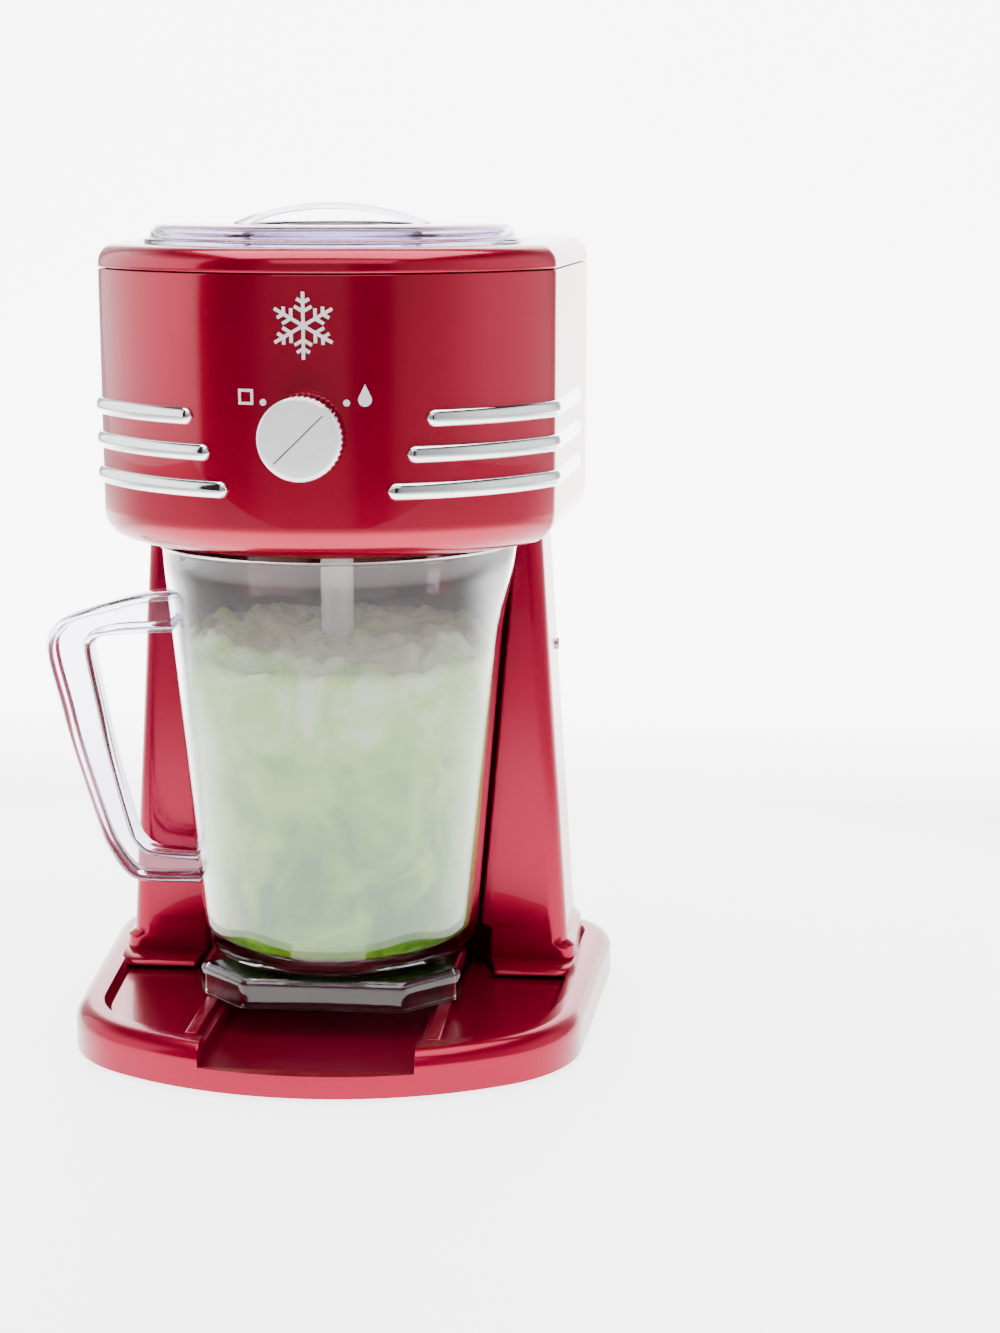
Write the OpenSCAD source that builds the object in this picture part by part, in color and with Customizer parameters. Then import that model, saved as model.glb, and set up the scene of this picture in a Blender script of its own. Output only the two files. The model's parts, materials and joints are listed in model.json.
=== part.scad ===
// Slushie machine. Millimetres, +Z up, front towards -Y, pitcher handle towards -X.
// The origin lies on the surface that the feet stand on, below the pitcher's axis.

/* [Head] */
// Half the width of the head at its front corners
head_half_w = 108.5; // [106:0.5:112]
// Distance from the pitcher's axis to the front of the head
head_front = 90.5; // [88:0.5:94]
// Radius of the head's curved front
head_front_r = 123; // [121:1:128]
// Height of the head's underside
head_bottom = 245; // [245:0.5:246]
// Height of the seam between the head and its cap
head_seam = 374.7; // [373:0.1:376]
// Height of the cap's flat top
cap_top = 386; // [385.5:0.5:387]

/* [Base] */
// Half the width of the base at the end of its curved front
base_half_w = 124; // [122:1:128]
// Distance from the pitcher's axis to the front of the base
base_front = 124; // [120:1:126]
// Height of the crest of the base's rim
rim_crest = 23.5; // [23:0.1:23.5]
// Half the width of the channel through the front rim
channel_half_w = 50.5; // [46:0.5:52]

/* [Pitcher] */
// Outer radius of the pitcher's wall just above its foot
pitcher_r_low = 67.3; // [66:0.1:68]
// Outer radius of the pitcher's wall at its rim
pitcher_r_high = 84.9; // [83:0.1:85]
// Height of the pitcher's rim
pitcher_rim = 244.4; // [243:0.1:244.4]
// Half the width of the octagonal foot across its flats
foot_half_w = 64; // [62:0.5:64.5]

/* [Drive] */
// Teeth on the output gear, on the central shaft
output_teeth = 56; // [56:4:56]
// Teeth on the idler's small gear
idler_small_teeth = 16; // [16:4:16]
// Teeth on the idler's large gear
idler_large_teeth = 60; // [60:4:60]
// Teeth on the motor's pinion
pinion_teeth = 14; // [14:2:14]
// Gear module
gear_module = 1; // [1:0.1:1]

/* [Controls] */
// Height of the knob's centre
knob_z = 303; // [300:1:305]
// Radius of the knob's skirt
knob_r = 19.2; // [18:0.1:20]
// Angle between the knob's two modes
knob_swing = 92; // [80:1:96]

/* [Hidden] */
$fn = 96;
EPS = 0.01;
wall = 3;               // moulded shell thickness

// plan shapes: [half width, front, front radius, corner radius, rear, rear radius, rear flare]
rear_flare = 8;
HEAD = [head_half_w, head_front, head_front_r, 10, 105, 16, rear_flare];
BASE = [base_half_w, base_front, 175, 65, 114, 35, rear_flare];
head_edge_r = 16;
cap_edge_r = 9.2;

// base heights
foot_h = 2.2;
plate_top = 7;
deck_z = 21.5;
channel_z = 10.5;
lip_z = 13;
rim_w = 15;
rim_roll = 7.4;         // radius of the rim's rolled outer edge
rail_x = 57;            // the two rails under the pitcher's foot
rail_w = 6;

// column
column_low_w = 113;
column_high_w = 98.5;
column_front = 20;
column_rear = 107;
wing_t = 6;             // thickness of the column's wings at their tips
recess_low_y = 80;      // deepest point of the concave front, at its foot and top
recess_high_y = 91;
cover_low = 46;
cover_high = 226;
cover_half_w = 66;
side_screw_y = 70;
side_screw_z = 180;
gland_x = 40;           // cord gland at the back
gland_z = 34;

// pitcher
foot_bottom = rim_crest + 0.3;
foot_top = 39;
foot_flat = 39.5;
pitcher_wall = 2.6;
pitcher_floor = 43.5;
pitcher_round = 11;
spout_x = 68;
spout_r = 21.5;
spout_low = 196;
pin_r = 3;
running = 0.05;         // radial clearance of a running fit
paddle_shaft_r = 8;
paddle_low = 46;
tang_w = 4;
tang_len = 13;
tang_top = 244.7;
notch_z = 241.9;        // floor of the notch in the pitcher's rear rim
socket_low = notch_z + 0.4;

// drive line
shaft_r = 4;
idler_y = gear_module*(output_teeth + idler_small_teeth)/2;
motor_y = idler_y + gear_module*(idler_large_teeth + pinion_teeth)/2;
floor_top = 251.5;
low_gear_z = 255.2;
high_gear_z = 263;
gear_w = 6;
box_top = 272;
cover_t = 2.5;
motor_r = 18;
motor_low = 278;
motor_high = 332;
blade_plate_z = 313;
blade_plate_t = 4;
hopper_r_low = 45;
hopper_r_high = 52;
chute = [-58, -38];     // inner faces of the ice chute along Y
chute_half_w = 18;

// lid and interlock
lid_a = 90;
lid_b = 82.5;
lid_low = cap_top + 0.3;
lid_top = 395;
well_r = 42;
lid_handle_half = 47;
handle_top = 404.7;
pin_x = -50;
pin_y = 52;

// ---------- plan curves ----------

// points of an arc from angle a0 to a1
function arc(c, r, a0, a1, n) = [for (i = [0:n]) c + r*[cos(a0 + (a1 - a0)*i/n), sin(a0 + (a1 - a0)*i/n)]];

// mirrored copy of a list of points, in reverse order, so that a half outline closes
function mirrored(p) = [for (i = [len(p)-1:-1:0]) [-p[i][0], p[i][1]]];

// D-shaped outline, moved inwards by inset
function d_plan(s, inset = 0) =
    let (w = s[0] - inset,
         r = s[2] - inset,
         rc = max(s[3] - inset, 1),
         b = s[4] - inset,
         rb = max(s[5] - inset, 1),
         cy = s[2] - s[1],
         yc = cy - sqrt(pow(r - rc, 2) - pow(w - rc, 2)),
         tilt = asin((w - rc)/(r - rc)),
         lean = atan(s[6]/(b - rb - yc)),
         half = concat(arc([0, cy], r, -90, -90 + tilt, 20),
                       arc([w - rc, yc], rc, -90 + tilt + 4, -lean, 7),
                       arc([w + s[6] - rb, b - rb], rb, -lean, 90, 7)))
    concat(half, mirrored([for (i = [1:len(half)-1]) half[i]]));

// ellipse outline
function ellipse(a, b, n = 72) = [for (i = [0:n-1]) [a*cos(360*i/n), b*sin(360*i/n)]];

// ---------- shared shapes ----------

// thin slice of a plan outline
module slice(s, inset, z) translate([0, 0, z]) linear_extrude(EPS) polygon(d_plan(s, inset));

// solid of a plan outline with rounded lower and upper edges
module rolled(s, inset, z0, z1, r0, r1) {
    hull() {
        for (a = [0:15:90]) {
            if (r0 > 0 || a == 90) slice(s, inset + r0*(1 - sin(a)), z0 + r0*(1 - cos(a)));
            if (r1 > 0 || a == 90) slice(s, inset + r1*(1 - sin(a)), z1 - EPS - r1*(1 - cos(a)));
        }
    }
}

// strip that lies on the head's surface, from its face out to t
module skin(t, z0, z1) {
    translate([0, 0, z0]) linear_extrude(z1 - z0) difference() {
        polygon(d_plan(HEAD, -t));
        polygon(d_plan(HEAD, 0));
    }
}

// extrusion along Y of a shape drawn in X and Z
module along_y(y0, y1) translate([0, y1, 0]) rotate([90, 0, 0]) linear_extrude(y1 - y0) children();

// bar along Y with its axis at x, z
module y_rod(r, y0, y1, x = 0, z = 0) translate([x, y0, z]) rotate([-90, 0, 0]) cylinder(r = r, h = y1 - y0);

// tube with a flange at its lower end
module flanged(bore, r, flange_r, z0, z1, flange_t) {
    difference() {
        union() {
            translate([0, 0, z0]) cylinder(r = r, h = z1 - z0);
            translate([0, 0, z0]) cylinder(r = flange_r, h = flange_t);
        }
        translate([0, 0, z0 - 1]) cylinder(r = bore, h = z1 - z0 + 2);
    }
}

// pan-head screw pointing down from its head, head top at z = 0
module screw(head_r, head_h, shank_r, length) {
    difference() {
        union() {
            translate([0, 0, -head_h]) cylinder(r = head_r, h = head_h);
            translate([0, 0, -length]) cylinder(r = shank_r, h = length);
        }
        for (a = [0, 90]) rotate(a)
            translate([-head_r*0.6, -0.35, -head_h*0.55]) cube([head_r*1.2, 0.7, head_h]);
    }
}

// ---------- gears ----------

PRESSURE = 25;
BACKLASH = 0.10;
function involute(a) = tan(a)*180/PI - a;
function half_tooth(z, m, r) =
    let (rp = m*z/2,
         rb = rp*cos(PRESSURE),
         a = acos(min(1, rb/r)))
    90/z - BACKLASH/rp*180/PI + involute(PRESSURE) - involute(a);

// outline of a spur gear whose first tooth points along +X
function gear_outline(z, m) =
    let (rp = m*z/2,
         rb = rp*cos(PRESSURE),
         root = rp - 1.2*m,
         tip = rp + 0.9*m,
         radii = [root, max(rb, root + 0.05), rp - 0.1*m, rp + 0.4*m, tip])
    [for (k = [0:z-1]) each concat(
        [for (i = [0:4])
            let (a = 360*k/z - half_tooth(z, m, max(radii[i], rb))) radii[i]*[cos(a), sin(a)]],
        [for (i = [4:-1:0])
            let (a = 360*k/z + half_tooth(z, m, max(radii[i], rb))) radii[i]*[cos(a), sin(a)]])];

module gear(z, m, w, phase) rotate(phase) linear_extrude(w) polygon(gear_outline(z, m));

// ---------- spring ----------

// closed helical wire of round section
module coil(r, wire_r, z0, z1, turns) {
    steps = turns*16;
    sides = 8;
    pts = [for (i = [0:steps]) for (j = [0:sides-1])
        let (a = 360*turns*i/steps, u = 360*j/sides)
        [(r + wire_r*cos(u))*cos(a), (r + wire_r*cos(u))*sin(a),
         z0 + wire_r + (z1 - z0 - 2*wire_r)*i/steps + wire_r*sin(u)]];
    sidefaces = [for (i = [0:steps-1]) for (j = [0:sides-1])
        [i*sides + j, (i+1)*sides + j, (i+1)*sides + (j+1)%sides, i*sides + (j+1)%sides]];
    ends = [[for (j = [0:sides-1]) j], [for (j = [sides-1:-1:0]) steps*sides + j]];
    polyhedron(points = pts, faces = concat(sidefaces, ends), convexity = 10);
}

// ---------- base ----------

foot_places = [[0, 0], [-88, -62], [88, -62], [-96, 86], [96, 86]];
plate_screw_places = [[-70, -80], [70, -80], [-60, 95], [60, 95]];

module base_shell() color("crimson") difference() {
    union() {
        rolled(BASE, 0, plate_top, rim_crest, 0, rim_roll);
        // low skirt round the plate
        translate([0, 0, foot_h]) linear_extrude(plate_top - foot_h) difference() {
            polygon(d_plan(BASE));
            polygon(d_plan(BASE, wall));
        }
    }
    // hollow underside
    translate([0, 0, plate_top - 1]) difference() {
        linear_extrude(deck_z - plate_top - 1.5) polygon(d_plan(BASE, rim_w));
        translate([-channel_half_w - wall, -base_front, -1])
            cube([2*(channel_half_w + wall), base_front + 60, 20]);
        for (p = plate_screw_places) translate(p) cylinder(r = 5, h = 30);
    }
    // recessed deck with two rails left standing under the pitcher's foot
    difference() {
        translate([0, 0, deck_z]) linear_extrude(10) polygon(d_plan(BASE, rim_w));
        for (side = [-1, 1]) translate([side*rail_x - rail_w/2, -base_front, 0])
            cube([rail_w, base_front + foot_half_w, rim_crest]);
    }
    // seat for the column
    translate([0, 0, deck_z]) linear_extrude(10) polygon(d_plan(column_plan(column_low_w), -0.2));
    // channel, with a low lip across the front
    translate([-channel_half_w, -base_front + 8, channel_z]) cube([2*channel_half_w, base_front + 54, 30]);
    translate([-channel_half_w, -base_front - 5, lip_z]) cube([2*channel_half_w, 20, 30]);
    for (p = plate_screw_places) translate([p[0], p[1], 0]) cylinder(r = 1.25, h = 17);
}

module base_plate() color([0.06, 0.06, 0.06]) difference() {
    translate([0, 0, foot_h]) linear_extrude(plate_top - foot_h) polygon(d_plan(BASE, wall + 0.3));
    for (p = plate_screw_places) translate([p[0], p[1], 0]) {
        cylinder(r = 1.6, h = 20);
        cylinder(r = 3.6, h = foot_h + 2);
    }
    for (p = foot_places) translate([p[0], p[1], 0]) cylinder(r = 4, h = 20);
    for (x = [-24:8:24]) translate([x - 1.6, 20, 0]) cube([3.2, 44, 20]);
}

module rubber_feet() color([0.08, 0.08, 0.08]) for (p = foot_places) translate([p[0], p[1], 0]) {
    cylinder(r1 = 9, r2 = 9.5, h = foot_h);
    cylinder(r = 4, h = plate_top);
}

module base_screws() color("silver") for (p = plate_screw_places)
    translate([p[0], p[1], foot_h + 0.4]) rotate([180, 0, 0]) screw(3.4, 1.6, 1.25, 13);

// ---------- column ----------

function column_plan(w) = [w, -column_front, 3000, 3, column_rear, 26, 0];
module column_block(inset) hull() {
    slice(column_plan(column_low_w), inset, deck_z);
    slice(column_plan(column_high_w), inset, head_bottom - EPS);
}

// circle through both wing tips and the deepest point of the concave front
function recess_r(tip_x, deep_y) =
    (pow(tip_x, 2) + pow(deep_y - column_front, 2))/(2*(deep_y - column_front));

// concave front: a cone that leans back with the column
module recess(grow) {
    low_r = recess_r(column_low_w - wing_t, recess_low_y);
    high_r = recess_r(column_high_w - wing_t, recess_high_y);
    low_y = recess_low_y - low_r;
    lean = atan((recess_high_y - high_r - low_y)/(head_bottom - deck_z));
    slope = (high_r - low_r)/(head_bottom - deck_z)*cos(lean);
    past = 60;
    length = (head_bottom - deck_z)/cos(lean) + 2*past;
    translate([0, low_y, deck_z]) rotate([-lean, 0, 0]) translate([0, 0, -past])
        cylinder(r1 = low_r - slope*past + grow, r2 = low_r - slope*past + slope*length + grow, h = length);
}

cover_screw_places = [[-58, 54], [58, 54], [-58, 218], [58, 218]];

module column_shell() color("crimson") {
    difference() {
        column_block(0);
        recess(0);
        difference() {
            column_block(wall);
            recess(wall);
            // bosses for the cover's screws
            for (p = cover_screw_places) y_rod(5, 60, column_rear, p[0], p[1]);
            translate([-200, 0, deck_z - 1]) cube([400, 200, wall + 1]);
            translate([-200, 0, head_bottom - wall]) cube([400, 200, wall + 1]);
        }
        // opening closed by the rear cover
        translate([-cover_half_w + 4, column_rear - wall - 1, cover_low + 14])
            cube([2*cover_half_w - 8, 8, 150]);
        for (p = cover_screw_places) y_rod(1.5, column_rear - 12, column_rear + 1, p[0], p[1]);
        y_rod(5.5, column_rear - 8, column_rear + 1, gland_x, gland_z);
        for (side = [-1, 1]) translate([side*104, side_screw_y, side_screw_z]) rotate([0, 90, 0])
            cylinder(r = 1.5, h = 30, center = true);
    }
}

module rear_cover() color([0.07, 0.07, 0.07]) difference() {
    along_y(column_rear, column_rear + 2.5) difference() {
        translate([-cover_half_w, cover_low]) square([2*cover_half_w, cover_high - cover_low]);
        for (x = [-42:7:42]) translate([x - 1.75, cover_low + 70]) square([3.5, 60]);
    }
    for (p = cover_screw_places) y_rod(1.7, column_rear - 1, column_rear + 3, p[0], p[1]);
}

module rear_screws() color("silver") for (p = cover_screw_places)
    translate([p[0], column_rear + 4.1, p[1]]) rotate([-90, 0, 0]) screw(3.2, 1.6, 1.5, 12);

module side_screws() color([0.1, 0.1, 0.1]) for (side = [-1, 1])
    translate([side*(column_high_w + 5.9), side_screw_y, side_screw_z]) rotate([0, side*90, 0])
        screw(3, 1.4, 1.5, 9);

module cord_gland() color([0.07, 0.07, 0.07]) difference() {
    union() {
        y_rod(8.5, column_rear, column_rear + 4, gland_x, gland_z);
        y_rod(5.5, column_rear - 6, column_rear + 4, gland_x, gland_z);
        translate([gland_x, column_rear + 4, gland_z]) rotate([-90, 0, 0]) cylinder(r1 = 7, r2 = 5.4, h = 4);
    }
    y_rod(3.6, column_rear - 8, column_rear + 10, gland_x, gland_z);
}

// ---------- head ----------

module head_shell() color("crimson") difference() {
    rolled(HEAD, 0, head_bottom, head_seam - 0.2, head_edge_r, 0);
    // cavity, stepped inwards above the rounded lower edge
    translate([0, 0, head_bottom + head_edge_r]) linear_extrude(head_seam - head_bottom)
        polygon(d_plan(HEAD, wall));
    translate([0, 0, head_bottom + 7]) linear_extrude(20) polygon(d_plan(HEAD, 8));
    translate([0, 0, head_bottom + wall]) linear_extrude(20) polygon(d_plan(HEAD, 16.6));
    translate([0, 0, head_bottom - 1]) linear_extrude(10) polygon(d_plan(HEAD, 20));
    y_rod(5, -head_front - 5, -head_front + 12, 0, knob_z);
    for (x = [-42:7:42]) translate([x - 1.75, 98, 288]) cube([3.5, 12, 60]);
}

module head_floor() color([0.75, 0.05, 0.12]) difference() {
    union() {
        translate([0, 0, head_bottom]) linear_extrude(wall) polygon(d_plan(HEAD, 20.3));
        translate([0, 0, head_bottom + wall]) linear_extrude(floor_top - head_bottom - wall)
            polygon(d_plan(HEAD, 17));
    }
    translate([0, 0, head_bottom - 1]) cylinder(r = 9.6, h = 8);
    translate([-chute_half_w, chute[0], head_bottom - 1]) cube([2*chute_half_w, chute[1] - chute[0], 8]);
}

module head_cap() color("crimson") difference() {
    rolled(HEAD, 0, head_seam + 0.2, cap_top, 0, cap_edge_r);
    translate([0, 0, head_seam - 1]) linear_extrude(cap_top - head_seam - wall + 1) polygon(d_plan(HEAD, 5));
    translate([0, 0, head_seam]) cylinder(r = hopper_r_high + 2.3, h = 20);
    translate([pin_x, pin_y, head_seam]) cylinder(r = 2 + running, h = 20);
}

// trims: [height of the centre, x of the inner end]
TRIMS = [[310.1, 53], [294, 44.5], [277.4, 36]];
trim_half_h = 4;
trim_t = 1.6;
trim_wrap = 52;

module trim(side, i) color([0.85, 0.86, 0.88]) {
    z = TRIMS[i][0];
    intersection() {
        skin(trim_t, z - trim_half_h, z + trim_half_h);
        union() {
            along_y(-head_front - 5, trim_wrap - trim_half_h) {
                translate([side > 0 ? TRIMS[i][1] + trim_half_h : -130, z - trim_half_h])
                    square([130 - TRIMS[i][1] - trim_half_h, 2*trim_half_h]);
                translate([side*(TRIMS[i][1] + trim_half_h), z]) circle(r = trim_half_h);
            }
            translate([side > 0 ? 60 : -130, trim_wrap - trim_half_h, z]) rotate([0, 90, 0])
                cylinder(r = trim_half_h, h = 70);
        }
    }
}

module trim_left_1() trim(-1, 0);
module trim_left_2() trim(-1, 1);
module trim_left_3() trim(-1, 2);
module trim_right_1() trim(1, 0);
module trim_right_2() trim(1, 1);
module trim_right_3() trim(1, 2);

// snowflake of six arms with two pairs of twigs each
ornament_z = 352;
ornament_r = 15;
module snowflake(r, w) for (a = [30:60:330]) rotate(a) {
    translate([0, -w/2]) square([r, w]);
    for (s = [-1, 1]) {
        translate([r*0.42, 0]) rotate(s*60) translate([0, -w/2]) square([r*0.3, w]);
        translate([r*0.68, 0]) rotate(s*60) translate([0, -w/2]) square([r*0.22, w]);
    }
}

module front_ornament() color([0.9, 0.9, 0.92]) intersection() {
    skin(0.6, ornament_z - 20, ornament_z + 20);
    along_y(-head_front - 5, -head_front + 10) translate([0, ornament_z]) snowflake(ornament_r, 1.5);
}

// two dots beside the knob, with an ice cube and a drop outside them
module mode_marks() color([0.95, 0.95, 0.95]) intersection() {
    skin(0.4, knob_z, knob_z + 40);
    along_y(-head_front - 5, -head_front + 12) {
        for (s = [-1, 1]) translate([s*18.9, knob_z + 14.7]) circle(r = 1.5);
        translate([-27, knob_z + 17]) difference() {
            square(7, center = true);
            square(4.6, center = true);
        }
        translate([27, knob_z + 16]) {
            circle(r = 3);
            polygon([[-2.6, 1.5], [2.6, 1.5], [0, 7]]);
        }
    }
}

// ---------- knob and selector ----------

knob_back = -head_front - 0.8;
skirt_front = -head_front - 15;
face_front = -head_front - 19;
rest_angle = knob_swing/2;
pointer_w = 0.9;
pointer_half = 15.5;

module knob_frame() translate([0, 0, knob_z]) rotate([90, 0, 0]) children();

module knob_skirt() color([0.85, 0.86, 0.88]) knob_frame() difference() {
    union() {
        translate([0, 0, -knob_back]) linear_extrude(knob_back - skirt_front - 1) difference() {
            circle(r = knob_r);
            for (a = [0:7.5:359]) rotate(a) translate([knob_r + 0.35, 0]) circle(r = 0.9);
        }
        translate([0, 0, -skirt_front - 1]) cylinder(r = knob_r - 0.6, h = 1);
    }
    translate([0, 0, -knob_back - 1]) cylinder(r = 13, h = 7);
    translate([0, 0, -knob_back - 1]) cylinder(r = 3, h = 14);
}

module knob_face() color([0.88, 0.89, 0.91]) knob_frame() rotate(-rest_angle) difference() {
    translate([0, 0, -skirt_front]) rotate_extrude()
        polygon(concat([[0, 0], [18.8, 0]], arc([16.8, 2], 2, 0, 90, 6), [[0, 4]]));
    translate([-pointer_w/2, -pointer_half, -face_front - 0.8]) cube([pointer_w, 2*pointer_half, 2]);
}

module knob_pointer() color([0.2, 0.2, 0.22]) knob_frame() rotate(-rest_angle)
    translate([-pointer_w/2, -pointer_half, -face_front - 0.8]) cube([pointer_w, 2*pointer_half, 0.6]);

module selector_shaft() color("silver") y_rod(pin_r, knob_back - 11.8, -head_front + 20, 0, knob_z);

module selector_switch() color([0.12, 0.12, 0.14]) difference() {
    union() {
        translate([-12, -head_front + wall + 0.8, knob_z - 12]) cube([24, 23, 24]);
        y_rod(4.9, -head_front - 4, -head_front + wall + 1.5, 0, knob_z);
    }
    y_rod(pin_r + running, -head_front - 5, -head_front + 22, 0, knob_z);
    for (z = [-8, 0, 8]) translate([-9, -head_front + wall + 23, knob_z + z - 1.5]) cube([18, 2, 3]);
}

module selector_nut() color("silver") difference() {
    translate([0, -head_front - 0.2, knob_z]) rotate([90, 0, 0]) cylinder(r = 8, h = 2.8, $fn = 6);
    y_rod(4.9, -head_front - 4, -head_front + 1, 0, knob_z);
}

// ---------- ice hopper and blade ----------

module hopper() color("crimson") rotate_extrude() polygon([
    [hopper_r_low, blade_plate_z + blade_plate_t], [50, blade_plate_z + blade_plate_t],
    [50, blade_plate_z + blade_plate_t + 2.5], [hopper_r_low + 2.4, blade_plate_z + blade_plate_t + 2.5],
    [hopper_r_low + 2.4, 335], [hopper_r_high + 2, 372], [hopper_r_high + 2, cap_top - wall],
    [hopper_r_high + 2, cap_top + EPS], [56.5, cap_top + EPS], [56.5, cap_top + 1.2],
    [hopper_r_high + 0.8, cap_top + 1.6], [hopper_r_high, cap_top + 0.8], [hopper_r_high, 372],
    [hopper_r_low, 335]]);

module ice_chute() color([0.9, 0.9, 0.9]) translate([0, 0, floor_top]) difference() {
    translate([-chute_half_w - 2, chute[0] - 2, 0])
        cube([2*chute_half_w + 4, chute[1] - chute[0] + 4, blade_plate_z - floor_top]);
    translate([-chute_half_w, chute[0], -1]) cube([2*chute_half_w, chute[1] - chute[0], 80]);
}

blade_screw_places = [[-11, -27], [11, -27]];

module blade_plate() color([0.8, 0.8, 0.82]) difference() {
    union() {
        translate([0, 0, blade_plate_z]) cylinder(r = 50, h = blade_plate_t);
        translate([-chute_half_w - 2, chute[0] - 2, blade_plate_z])
            cube([2*chute_half_w + 4, 30, blade_plate_t]);
        // posts that stand on the gearbox cover
        for (s = [-1, 1]) translate([s*28, 22, box_top + cover_t])
            cylinder(r = 4.5, h = blade_plate_z - box_top - cover_t + 1);
    }
    translate([0, 0, blade_plate_z - 1]) cylinder(r = 8, h = 10);
    translate([-15.5, -43, blade_plate_z - 1]) cube([31, 7, 10]);
    translate([-16, -36, blade_plate_z + blade_plate_t - 1]) cube([32, 14, 2]);
    for (p = blade_screw_places) translate([p[0], p[1], blade_plate_z - 1]) cylinder(r = 1.5, h = 10);
}

module ice_blade() color("silver") difference() {
    translate([0, 0, blade_plate_z + blade_plate_t - 1]) rotate([90, 0, 90]) translate([0, 0, -15])
        linear_extrude(30) polygon([[-39.5, 0.9], [-38, 0], [-22.5, 0], [-22.5, 1], [-39, 1]]);
    for (p = blade_screw_places) translate([p[0], p[1], blade_plate_z]) cylinder(r = 1.5, h = 10);
}

module blade_screws() color("silver") for (p = blade_screw_places)
    translate([p[0], p[1], blade_plate_z + blade_plate_t + 1.1]) screw(2.8, 1.1, 1.5, 5);

// ---------- lid ----------

module lid_slice(a, b, z) translate([0, 0, z]) linear_extrude(EPS) polygon(ellipse(a, b));

lid_wall = 2.4;
lid_inset = 3;

module lid_dome() hull() {
    lid_slice(lid_a - lid_inset, lid_b - lid_inset, lid_low);
    for (a = [0:30:90])
        lid_slice(lid_a - lid_inset - 6*(1 - cos(a)), lid_b - lid_inset - 6*(1 - cos(a)),
                  lid_low + 3 + (lid_top - lid_low - 3)*sin(a) - EPS);
}

module hopper_lid() color([0.86, 0.84, 0.94, 0.5]) difference() {
    union() {
        translate([0, 0, lid_low]) linear_extrude(2.2) polygon(ellipse(lid_a, lid_b));
        lid_dome();
    }
    difference() {
        translate([0, 0, lid_low - 1]) linear_extrude(lid_top - lid_wall - lid_low + 1)
            polygon(ellipse(lid_a - lid_inset - 6, lid_b - lid_inset - 6));
        translate([0, 0, lid_low + 1.2]) cylinder(r1 = well_r - 1, r2 = well_r + 2.2, h = lid_top - lid_low);
        translate([pin_x, pin_y, lid_low]) cylinder(r = 3.4, h = 20);
    }
    translate([0, 0, lid_low + 3]) cylinder(r1 = well_r - 3, r2 = well_r, h = lid_top - lid_low - 3 + EPS);
}

// arched handle across the finger well
module lid_handle() color([0.9, 0.88, 0.96, 0.6]) {
    rise = handle_top - lid_top;
    span_r = (pow(lid_handle_half, 2) + rise*rise)/(2*rise);
    intersection() {
        along_y(-7, 7) difference() {
            translate([0, handle_top - span_r]) circle(r = span_r, $fn = 360);
            translate([0, handle_top - span_r]) circle(r = span_r - 3, $fn = 360);
        }
        translate([-lid_handle_half - 6, -10, lid_top]) cube([2*lid_handle_half + 12, 20, 20]);
    }
}

// ---------- interlock ----------

module interlock_pin() color("silver") translate([pin_x, pin_y, 0]) {
    translate([0, 0, 360.5]) cylinder(r = 2, h = cap_top - 360.5);
    translate([0, 0, 372.4]) cylinder(r = 4, h = 1.6);
}

module interlock_spring() color([0.7, 0.7, 0.72]) translate([pin_x, pin_y, 0])
    coil(3.2, 0.45, 362.2, 372.2, 5);

module interlock_switch() color([0.12, 0.12, 0.14]) translate([pin_x, pin_y, 0]) difference() {
    union() {
        translate([-9, -7, 346]) cube([18, 14, 16]);
        for (s = [-1, 1]) translate([s*7 - 1.5, -7, 361]) cube([3, 14, cap_top - wall - 361]);
    }
    translate([0, 0, 354]) cylinder(r = 2.4, h = 20);
}

// ---------- drive ----------

module impeller() color([0.9, 0.9, 0.92]) difference() {
    union() {
        translate([0, 0, 318.6]) cylinder(r = 12, h = 8);
        translate([0, 0, 326.6]) cylinder(r1 = 12, r2 = 6, h = 10);
        for (a = [15:120:300]) rotate(a) translate([0, -1.5, 318.6]) cube([42, 3, 13]);
    }
    translate([0, 0, 317]) cylinder(r = shaft_r, h = 16);
}

module drive_shaft() color("silver") translate([0, 0, 250.5]) cylinder(r = shaft_r, h = 333 - 250.5);

module output_gear() color([0.92, 0.9, 0.82]) translate([0, 0, low_gear_z]) difference() {
    union() {
        gear(output_teeth, gear_module, gear_w, 0);
        translate([0, 0, gear_w]) cylinder(r = 9, h = 1.5);
    }
    for (a = [0:60:300]) rotate(a) translate([17, 0, -1]) cylinder(r = 4, h = 20);
    translate([0, 0, -1]) cylinder(r = shaft_r, h = 20);
}

// slotted cup under the head's floor that turns the paddle
module drive_socket() color([0.15, 0.15, 0.16]) difference() {
    translate([0, 0, socket_low]) cylinder(r = 9, h = 250.5 - socket_low);
    translate([-tang_w/2 - 0.3, -10, socket_low - 1]) cube([tang_w + 0.6, 20, tang_top - socket_low + 1.6]);
}

module upper_bushing() color([0.72, 0.55, 0.3]) flanged(shaft_r + running, 8, 8, blade_plate_z, 318.2, 1);
module lower_bushing() color([0.72, 0.55, 0.3]) flanged(shaft_r + running, 7, 7, floor_top - 0.6, 254.8, 1);

box_half_w = 34;
box_front = -33;
box_rear = motor_y + 11;
cover_hole_places = [[-31, box_front + 3], [31, box_front + 3], [-31, box_rear - 3], [31, box_rear - 3]];

module gearbox_housing() color([0.2, 0.2, 0.22]) difference() {
    translate([-box_half_w, box_front, floor_top])
        cube([2*box_half_w, box_rear - box_front, box_top - floor_top]);
    difference() {
        translate([-box_half_w + 2, box_front + 2, floor_top + 2])
            cube([2*box_half_w - 4, box_rear - box_front - 4, 30]);
        for (p = cover_hole_places) translate([p[0], p[1], 0]) cylinder(r = 3.4, h = 300);
    }
    translate([0, 0, floor_top - 1]) cylinder(r = 7, h = 10);
    for (p = cover_hole_places) translate([p[0], p[1], floor_top + 6]) cylinder(r = 1.2, h = 30);
}

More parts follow.
